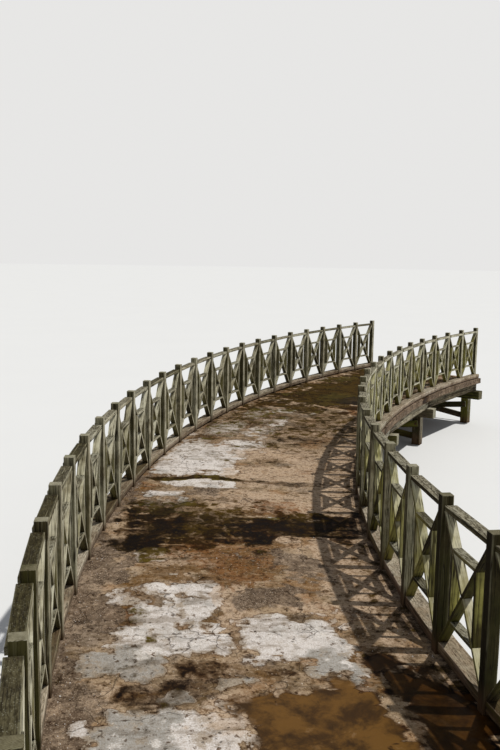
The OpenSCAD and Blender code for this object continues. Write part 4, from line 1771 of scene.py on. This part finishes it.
@dataclass
class Deck:
    """Six worn stone slabs with broken pale plates, silt between them and damp hollows."""

    plan: SetOut = PLAN
    lip: float = 20 * MM
    sill_over: float = 78 * MM
    joint: float = 3 * MM
    end_margin: float = 0.12
    grid: float = 22 * MM
    fine_lines: tuple[float, ...] = (0.0, 3 * MM, 8 * MM, 16 * MM)
    side_in: float = 30 * MM
    end_in: float = 0.0016
    crumbs_per_slab: int = 440
    crumb_most: float = 10 * MM
    pale_crumbs: float = 0.45
    verge_crumbs: float = 0.6
    edge_round: float = 9 * MM
    joint_round: float = 2 * MM
    crumb_sides: int = 5
    plate_rise: float = 6 * MM
    seed: int = 71

    def surface(self, s: Array, t: Array) -> tuple[Array, Array]:
        """How the deck's top has worn.

        Args:
            s: Metres along the middle of the path from the first posts.
            t: Metres outward from the middle of the path.

        Returns:
            The height above the lowest silt, and the eight layers along a last axis.
        """
        step = Relief.step

        def rough(along: float, across: float, level: float, turn: int, octaves: int) -> Array:
            """Noise over the deck, of so many waves to the metre along and across it."""
            return Relief.rough(s * along, t * across, level + 0 * s, self.seed + turn, octaves)

        ragged = 0.42 * rough(3.4, 3.4, 0, 0, 4) + 0.16 * rough(13, 13, 21, 9, 2)
        crease = np.abs(rough(4.2, 3.6, 31, 13, 3))
        ragged = ragged - 0.34 * (1 - step(0.02, 0.18, crease))
        drift = [0.11 * rough(1.8, 1.8, 11 + k, 21, 3) + 0.04 * rough(7, 7, 15 + k, 23, 2) for k in (0, 1)]
        layer = {key: self._laid(PATCHES[key], s, t, drift, ragged * RAGGED[key]) for key in Layer}
        broad, mottle = rough(0.9, 1.1, 3, 1, 4), rough(2.3, 2.7, 9, 2, 4)
        beyond = np.clip(step(12.4, 13.6, s) + step(1.5, 0.9, s), 0, 1)
        flaked = step(8.9, 9.5, s) * step(13.4, 12.4, s) * step(-0.2, 0.25, t)
        bare = np.maximum(layer[Layer.BARE], beyond * step(-0.3, 0.5, broad + ragged) * 0.95)
        bare = np.maximum(bare, flaked * np.clip(0.47 + 0.42 * mottle, 0, 1))
        bare = np.maximum(bare, 0.36 * step(0.0, 0.5, broad + ragged))
        islands = step(0.46, 0.58, rough(6.5, 5.0, 8, 3, 3))
        bare = bare * (1 - 0.62 * islands * (1 - 0.8 * step(0.98, 1.1, bare)))
        clear = 0.16 * step(6.9, 7.6, s) * step(-0.2, 0.2, t)
        verge = step(1.10, 1.40, np.abs(t) - clear + 0.25 * ragged)
        bare = bare * (1 - 0.8 * verge)
        wet = np.maximum(layer[Layer.WET], beyond * step(0.35, 0.8, -broad) * 0.7)
        clay = np.maximum(layer[Layer.CLAY], 0.5 * step(-0.2, 0.6, rough(1, 1, 5, 5, 3)))
        rosy = np.maximum(layer[Layer.ROSY], beyond * step(0.0, 0.6, mottle) * 0.6)
        soil = np.maximum(layer[Layer.SOIL], verge * 0.75)
        layer |= {Layer.BARE: bare, Layer.WET: wet, Layer.CLAY: clay, Layer.ROSY: rosy, Layer.SOIL: soil}
        pool = step(0.50, 0.75, wet)
        uneven = rough(9, 9, 2, 7, 3)
        height = self.plate_rise * step(0.35, 0.62, bare) * (1 - pool)
        height = height + 1.6 * MM * uneven * (1 - pool) - 2.5 * MM * pool
        height = height * (1 - verge) + (self.plate_rise - 1 * MM + 1.0 * MM * uneven) * verge
        return height, np.stack([layer[key] for key in Layer], -1)

    @staticmethod
    def _laid(patches: Iterable[Patch], s: Array, t: Array, drift: Sequence[Array], ragged: Array) -> Array:
        """Lays patches with ragged edges over the deck.

        Args:
            patches: What is laid.
            s, t: Where.
            drift: Shifts of both coordinates that bend the outlines; square patches take less of them.
            ragged: Noise that breaks the edges.

        Returns:
            Values from 0 to 1, with 0.5 at the edges.
        """
        total = np.zeros_like(s)
        for patch in patches:
            share = 1.3 if patch.square < 5 else 0.4
            inside = patch.inside(s + share * drift[0], t + share * drift[1]) + ragged * 0.8
            total = np.maximum(total, patch.strength * Relief.step(-0.35, 0.35, inside))
        return total

    def _ends(self, index: int) -> Span:
        """Works out where a slab ends.

        Args:
            index: Which slab.

        Returns:
            The angles of its ends.
        """
        plan = self.plan
        tail, cut = self.end_margin / plan.walk_r, self.joint / 2 / plan.walk_r
        a0 = plan.start + index * plan.span + (-tail if index == 0 else cut)
        a1 = plan.start + (index + 1) * plan.span + (tail if index == plan.spans - 1 else -cut)
        return a0, a1

    def _grid(self, a0: float, a1: float, inner: float, outer: float) -> list[Array]:
        """Lays a grid over a slab, finer along its edges.

        Args:
            a0, a1: Angles of its ends.
            inner, outer: Radii of its sides.

        Returns:
            The angle and the radius of each grid point.
        """
        walk_r = self.plan.walk_r
        across = round((outer - inner) / self.grid)
        along = round((a1 - a0) * walk_r / self.grid)
        edge = np.array(self.fine_lines)
        turn = edge[1:] / walk_r
        lines = np.linspace(inner + self.side_in, outer - self.side_in, across)
        stations = np.linspace(a0 + self.end_in, a1 - self.end_in, along)
        radii = np.concatenate([inner + edge, lines, outer - edge[::-1]])
        angles = np.concatenate([[a0], a0 + turn, stations, a1 - turn[::-1], [a1]])
        return np.meshgrid(angles, radii, indexing="ij")

    def _rounding(self, ends: Iterable[tuple[bool, Array]], side: Array, values: Array) -> Array:
        """Rounds the top edges of a slab and lays silt along its joints.

        Args:
            ends: Whether each end is a joint, and how far every point is from it.
            side: How far every point is from the nearer side.
            values: The layers, to which the silt is added.

        Returns:
            How far the rounding takes the top down.
        """
        deep = self.edge_round
        rounding = deep * (1 - Relief.step(0, 2 * deep, side))
        for joint, gap in ends:
            deep = self.joint_round if joint else self.edge_round
            rounding = np.maximum(rounding, deep * (1 - Relief.step(0, 2 * deep, gap)))
            silt = 0.35 * (1 - Relief.step(0, 0.03, gap)) * joint
            values[..., Layer.SOIL.value] = np.maximum(values[..., Layer.SOIL.value], silt)
            values[..., Layer.BARE.value] *= 1 - 0.6 * silt
        return rounding

    def bite(self, points: Array) -> Array:
        """Roughens the walls of a slab, toward or away from the centre of the arc.

        Args:
            points: Points on the walls.

        Returns:
            How far each is moved in plan.
        """
        noise = Relief.rough(points[:, 0] * 6, points[:, 1] * 6, points[:, 2] * 22, self.seed + 15, 4)
        out = points[:, :2] + np.array([0.0, self.plan.walk_r])
        distance = np.linalg.norm(out, axis=1)
        wall = np.where(distance > self.plan.walk_r, -1, 1)
        return out / distance[:, None] * (wall * (3 + 3 * noise) * MM)[:, None]

    def slab(self, index: int) -> None:
        """Builds and dresses one slab.

        Args:
            index: Which slab, from the near end.
        """
        plan = self.plan
        reach = plan.post_w / 2 + self.sill_over + self.lip
        outer, inner = plan.radius(Side.OUTER) + reach, plan.radius(Side.INNER) - reach
        a0, a1 = self._ends(index)
        a, r = self._grid(a0, a1, inner, outer)
        s, t = (a - plan.start) * plan.walk_r, r - plan.walk_r
        height, values = self.surface(s, t)
        ends = ((index > 0, (a - a0) * plan.walk_r), (index < plan.spans - 1, (a1 - a) * plan.walk_r))
        rounding = self._rounding(ends, np.minimum(r - inner, outer - r), values)
        uneven = 1 + 0.6 * Relief.rough(s * 8, t * 8, 0 * s + 4, self.seed + 11, 2)
        top = plan.deck_z - self.plate_rise + height - rounding * uneven
        bottom = np.full_like(top, plan.slab_z + 1.5 * MM)
        middle = plan.start + (np.floor((a - plan.start) / plan.bay) + 0.5) * plan.bay
        off = np.clip(a - np.clip(middle, a0, a1), -plan.bay / 2, plan.bay / 2)
        straight = r * (math.cos(plan.bay / 2) / np.cos(off))
        x, y = straight * np.sin(a), straight * np.cos(a) - plan.walk_r
        there = np.ones((x.shape[0] - 1, x.shape[1] - 1), bool)
        grain = np.stack([s, t, 0 * s], -1)
        solid = Solid()
        axes = Axes(np.zeros(3), *np.eye(3))
        solid.plate(axes, x, y, top, bottom, there, grain, values, rows=4, bite=self.bite, skip=8)
        self.crumbs(solid, index, a0, a1)
        dress(solid, f"deck_slab_{index + 1}", (DECK_STONE,))

    def crumbs(self, solid: Solid, index: int, a0: float, a1: float) -> None:
        """Strews small stones and clods over the silt, most of them along the verges.

        Args:
            solid: Where they go.
            index: Which slab.
            a0, a1: Angles of the slab's ends.
        """
        plan = self.plan
        dice = np.random.default_rng(self.seed + 31 + index)
        draws = 4 * self.crumbs_per_slab
        s = plan.walk_r * (dice.uniform(a0 + 0.002, a1 - 0.002, draws) - plan.start)
        edge = np.where(dice.random(draws) < self.verge_crumbs, dice.choice((-1, 1), draws), 0)
        reach = plan.clear_w / 2 - 0.02
        anywhere = dice.uniform(-reach, reach, draws)
        t = np.where(edge == 0, anywhere, edge * (reach - dice.exponential(0.10, draws)))
        height, values = self.surface(s, t)
        wet, bare = values[:, Layer.WET.value], values[:, Layer.BARE.value]
        fit = (wet < 0.45) & (bare < 0.5) & (np.abs(t) < reach)
        keep = np.flatnonzero(fit)[: self.crumbs_per_slab]
        count, sides = len(keep), self.crumb_sides
        s, t, values = s[keep], t[keep], values[keep]
        z = plan.deck_z - self.plate_rise + height[keep]
        size = dice.uniform(2.0, 4.0, count) + dice.exponential(1.6, count)
        size = np.minimum(size * MM, self.crumb_most)[:, None]
        values[:, Layer.BARE.value] = np.where(dice.random(count) < self.pale_crumbs, 1.2, 0.0)
        turn = dice.uniform(0, 2 * math.pi, count)[:, None] + np.arange(sides) * 2 * math.pi / sides
        oblong = dice.uniform(0.6, 1.0, count)[:, None]
        ds, dt = np.cos(turn) * size, np.sin(turn) * size * oblong
        jitter = dice.uniform(0.8, 1.2, (2, count, sides))
        rows = []
        for wide, tall, wobble in ((1.0, -0.3, jitter[0]), (0.72, 0.55, jitter[1]), (0.0, 0.8, jitter[1])):
            a = (s[:, None] + wide * ds * wobble) / plan.walk_r + plan.start
            r = plan.walk_r + t[:, None] + wide * dt * wobble
            level = z[:, None] + tall * size * wobble
            rows.append(np.stack([r * np.sin(a), r * np.cos(a) - plan.walk_r, level], -1))
        points = np.concatenate([rows[0], rows[1], rows[2][:, :1]], axis=1)
        total = points.shape[1]
        grain = np.repeat(np.stack([s, t, 0 * s], -1)[:, None], total, axis=1)
        grain = grain + dice.uniform(-1, 1, (count, 1, 3)) * 0.02
        first = solid.take(points, grain, np.repeat(values[:, None], total, axis=1))
        index_of = first + np.arange(count * total).reshape(-1, total)
        low, high, tip = index_of[:, :sides], index_of[:, sides : 2 * sides], index_of[:, -1:]
        after_low, after_high = np.roll(low, -1, axis=1), np.roll(high, -1, axis=1)
        solid.cover(np.stack([low, high, after_high, after_low], -1).reshape(-1, 4), Slot.FACE)
        tips = np.repeat(tip, sides, axis=1)
        solid.cover(np.stack([high, tips, after_high], -1).reshape(-1, 3), Slot.FACE)

    def build(self) -> None:
        """Builds and dresses all slabs."""
        for index in range(self.plan.spans):
            self.slab(index)


@dataclass
class Supports:
    """Bents of piles with a cap beam and braces, and the bearers that run over them."""

    plan: SetOut = PLAN
    bearer_w: float = 0.12
    bearer_z: float = 0.8
    bearer_joint: float = 8 * MM
    bearer_short: float = 15 * MM
    bearer_lines: int = 4
    end_margin: float = 0.12
    cap_w: float = 0.2
    cap_z: float = 0.6
    cap_reach: float = 0.203
    pile_w: float = 0.18
    pile_gap: float = 1.25
    brace_w: float = 0.14
    brace_t: float = 0.04
    brace_low: float = 0.13
    brace_rise: float = 0.33
    ease: float = 7 * MM
    end_ease: float = 3 * MM
    wear: Wear = Wear(1.3 * MM, 2.0 * MM, 5.0 * MM)
    washer: Span = (24 * MM, 4 * MM)
    bolt: Span = (13 * MM, 9 * MM)
    seed: int = 43

    def __post_init__(self) -> None:
        """Starts the dice."""
        self.dice = random.Random(self.seed)

    def timber(
        self, solid: Solid, axes: Axes, half_v: float, half_d: float, reach: Span, steps: int,
        points: tuple[int, int] = (9, 9),
    ) -> None:
        """Adds one sawn timber with a check on two of its faces.

        Args:
            solid: Where it goes.
            axes: Frame with u along the timber.
            half_v, half_d: Half its width and depth.
            reach: Where it starts and ends along u.
            steps: Stations along it.
            points: Points across its faces in v and d.
        """
        ease = min(self.ease, 0.2 * min(half_v, half_d))
        ring = Ring.box(-half_v, half_v, -half_d, half_d, ease, *points)
        checks = []
        long = reach[1] - reach[0]
        for face in self.dice.sample(ring.faces, 2):
            place = face[len(face) // 2]
            ring = ring.squeezed(place, self.dice.uniform(1.6, 3.2) * MM)
            start = reach[0] + self.dice.uniform(-0.1, 0.4) * long
            end = start + self.dice.uniform(0.4, 0.8) * long
            checks.append(Check(place, min(0.3 * half_v, 14 * MM), start, end))
        low, high = np.full(len(ring.v), reach[0]), np.full(len(ring.v), reach[1])
        lot = Lot.draw(self.dice)
        solid.sweep(axes, ring, low, high, steps, self.wear, lot, checks, end_ease=self.end_ease)

    def bent_axes(self, index: int) -> Axes:
        """Frame at the middle of a bent, at the foot of its piles."""
        return self.plan.axes(self.plan.walk_r, self.plan.start + index * self.plan.span, Side.OUTER)

    def piles(self) -> None:
        """Square piles of each bent."""
        for index in range(self.plan.spans + 1):
            at = self.bent_axes(index)
            solid = Solid()
            for k in (-1, 0, 1):
                axes = Axes(at.origin + k * self.pile_gap * at.v, at.d, at.u, at.v)
                self.timber(solid, axes, self.pile_w / 2, self.pile_w / 2, (0.0, self.cap_z), 12)
            dress(solid, f"piles_{index + 1}", (SUPPORT_TIMBER, TIMBER_END))

    def caps(self) -> None:
        """Cap beam of each bent."""
        plan = self.plan
        outer, inner = plan.radius(Side.OUTER), plan.radius(Side.INNER)
        half = (outer - inner) / 2 + self.cap_reach
        for index in range(plan.spans + 1):
            at = plan.axes((outer + inner) / 2, plan.start + index * plan.span, Side.OUTER)
            z = (self.cap_z + self.bearer_z) / 2
            axes = Axes(at.origin + z * at.d, at.v, at.d, at.u)
            solid = Solid()
            half_h = (self.bearer_z - self.cap_z) / 2
            self.timber(solid, axes, half_h, self.cap_w / 2, (-half, half), 40, (11, 11))
            dress(solid, f"cap_beam_{index + 1}", (SUPPORT_TIMBER, TIMBER_END))

    def bearers(self) -> None:
        """Bearers from bent to bent."""
        plan = self.plan
        solid = Solid()
        inner, outer = plan.radius(Side.INNER), plan.radius(Side.OUTER)
        skew = self.bearer_w / 2 * math.tan(plan.span / 2)
        for i in range(plan.spans):
            for j in range(self.bearer_lines):
                r = inner + (outer - inner) * j / (self.bearer_lines - 1)
                half = r * math.sin(plan.span / 2)
                stop = -self.bearer_joint / 2 - skew
                run_on = self.end_margin * r / plan.walk_r - self.bearer_short - skew
                x0 = -half - (run_on if i == 0 else stop)
                x1 = half + (run_on if i == plan.spans - 1 else stop)
                at = plan.axes(r * math.cos(plan.span / 2), plan.start + (i + 0.5) * plan.span, Side.OUTER)
                z = (self.bearer_z + plan.slab_z) / 2
                axes = Axes(at.origin + z * at.d, at.u, at.d, at.v)
                half_h = (plan.slab_z - self.bearer_z) / 2
                self.timber(solid, axes, half_h, self.bearer_w / 2, (x0, x1), 26, (7, 5))
        dress(solid, "bearers", (SUPPORT_TIMBER, TIMBER_END))

    def braces(self) -> None:
        """Crossed brace boards on the bents, with the bolts that hold them."""
        solid, bolts = Solid(), Solid()
        run = 2 * self.pile_gap
        lean = math.atan2(self.brace_rise, run)
        half = (math.hypot(run, self.brace_rise) + self.pile_w / 2) / 2
        z = self.brace_low + self.brace_rise / 2
        for index in range(self.plan.spans + 1):
            at = self.bent_axes(index)
            for face in (-1, 1):
                c, s = math.cos(face * lean), math.sin(face * lean)
                origin = at.origin + face * (self.pile_w + self.brace_t) / 2 * at.u + z * at.d
                axes = Axes(origin, c * at.v + s * at.d, c * at.d - s * at.v, at.u)
                self.timber(solid, axes, self.brace_w / 2, self.brace_t / 2, (-half, half), 26, (9, 5))
                proud = face * (self.brace_t / 2 - 1.5 * MM)
                for k in (-1, 0, 1):
                    centre = origin + k * self.pile_gap / c * axes.u + proud * at.u
                    bolts.stud(centre, face * at.u, *self.washer, 16)
                    bolts.stud(centre + face * self.washer[1] * at.u, face * at.u, *self.bolt, 6)
        dress(solid, "cross_braces", (SUPPORT_TIMBER, TIMBER_END))
        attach(bolts.piece("brace_bolts", (FIXING_IRON,)), BODY)

    def build(self) -> None:
        """Builds and dresses everything under the deck."""
        self.piles()
        self.caps()
        self.bearers()
        self.braces()


@dataclass
class Studio:
    """Camera, lamp, world and floor."""

    eye: tuple[float, float, float] = (-12.265, -2.230, 3.9997)
    heading: Span = (0.97942, 0.20181)
    pitch: float = math.radians(8.245)
    roll: float = math.radians(0.866)
    focal_px: float = 850.0
    long_px: float = 750.0
    sensor: float = 36.0
    sun_from: tuple[float, float, float] = (0.063, -0.432, 0.900)
    sun_strength: float = 2.68
    sun_spread: float = math.radians(1.2)
    sun_colour: Colour = (1.0, 0.965, 0.91)
    sky: Colour = (0.93, 0.95, 1.0)
    sky_strength: float = 0.30
    backdrop: Colour = (0.80, 0.795, 0.785)
    floor_r: float = 220.0

    def camera(self) -> None:
        """Sets the camera at the photograph's viewing angle."""
        data = bpy.data.cameras.new("camera")
        data.sensor_fit = "AUTO"
        data.sensor_width = self.sensor
        data.lens = self.focal_px / self.long_px * self.sensor
        data.clip_end = 500
        flat = Vector((*self.heading, 0)).normalized()
        ahead = flat * math.cos(self.pitch) - Vector((0, 0, 1)) * math.sin(self.pitch)
        right = ahead.cross(Vector((0, 0, 1))).normalized()
        up = right.cross(ahead)
        c, s = math.cos(self.roll), math.sin(self.roll)
        right, up = right * c + up * s, up * c - right * s
        made = bpy.data.objects.new("camera", data)
        made.matrix_world = Matrix((right, up, -ahead)).transposed().to_4x4()
        made.location = self.eye
        bpy.context.scene.collection.objects.link(made)
        bpy.context.scene.camera = made

    def light(self) -> None:
        """Adds one lamp and an even pale world."""
        data = bpy.data.lights.new("key", "SUN")
        data.energy = self.sun_strength
        data.angle = self.sun_spread
        data.color = self.sun_colour
        lamp = bpy.data.objects.new("key", data)
        lamp.rotation_euler = Vector(self.sun_from).to_track_quat("Z", "Y").to_euler()
        bpy.context.scene.collection.objects.link(lamp)
        world = bpy.data.worlds.new("studio")
        world.use_nodes = True
        bpy.context.scene.world = world
        graph = Graph(world.node_tree)
        path = graph.add("ShaderNodeLightPath", {}, {})
        seen = Value(graph, path.outputs["Is Camera Ray"])
        lit = graph.add("ShaderNodeBackground", {}, {"Color": self.sky, "Strength": self.sky_strength})
        shown = graph.add("ShaderNodeBackground", {}, {"Color": self.backdrop, "Strength": 1.0})
        mixed = graph.add("ShaderNodeMixShader", {}, {0: seen, 1: lit.outputs[0], 2: shown.outputs[0]})
        graph.add("ShaderNodeOutputWorld", {}, {"Surface": mixed.outputs[0]})

    def floor(self) -> None:
        """Adds the plain pale floor at the foot of the piles."""
        angle = np.arange(64) * 2 * math.pi / 64
        points = [(self.floor_r * math.cos(a), self.floor_r * math.sin(a), -0.5 * MM) for a in angle]
        mesh = bpy.data.meshes.new("studio_floor")
        mesh.from_pydata(points, [], [list(range(64))])
        mesh.materials.append(FloorFinish("studio_floor").material())
        made = bpy.data.objects.new("studio_floor", mesh)
        bpy.context.scene.collection.objects.link(made)
        made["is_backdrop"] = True

    def build(self) -> None:
        """Sets up the studio."""
        self.camera()
        self.light()
        self.floor()
        bpy.context.scene.view_settings.view_transform = "Standard"


def boxes_to_lists(*boxes: Sequence[Vector]) -> list[list[list[float]]]:
    """Turns pairs of corners into plain lists."""
    return [[[float(c) for c in corner] for corner in box] for box in boxes]


def main() -> None:
    """Builds every sub-assembly in order and reports each one."""
    logging.basicConfig(level=logging.INFO, format="%(message)s")
    parts = {
        "studio": Studio(),
        "deck": Deck(),
        "outer railing": Railing(Side.OUTER, per_lattice=4, rail_tones=OUTER_TONES, seed=11),
        "inner railing": Railing(
            Side.INNER, per_lattice=3, rail_tones=((0.55, 1.0),), lattice_finish=DAMP_LATTICE_TIMBER, seed=23
        ),
        "supports": Supports(),
    }
    for name, part in parts.items():
        part.build()
        LOG.info("built the %s", name)
    boxes_to_lists(CAD_BOX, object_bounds())


if __name__ == "__main__":
    main()
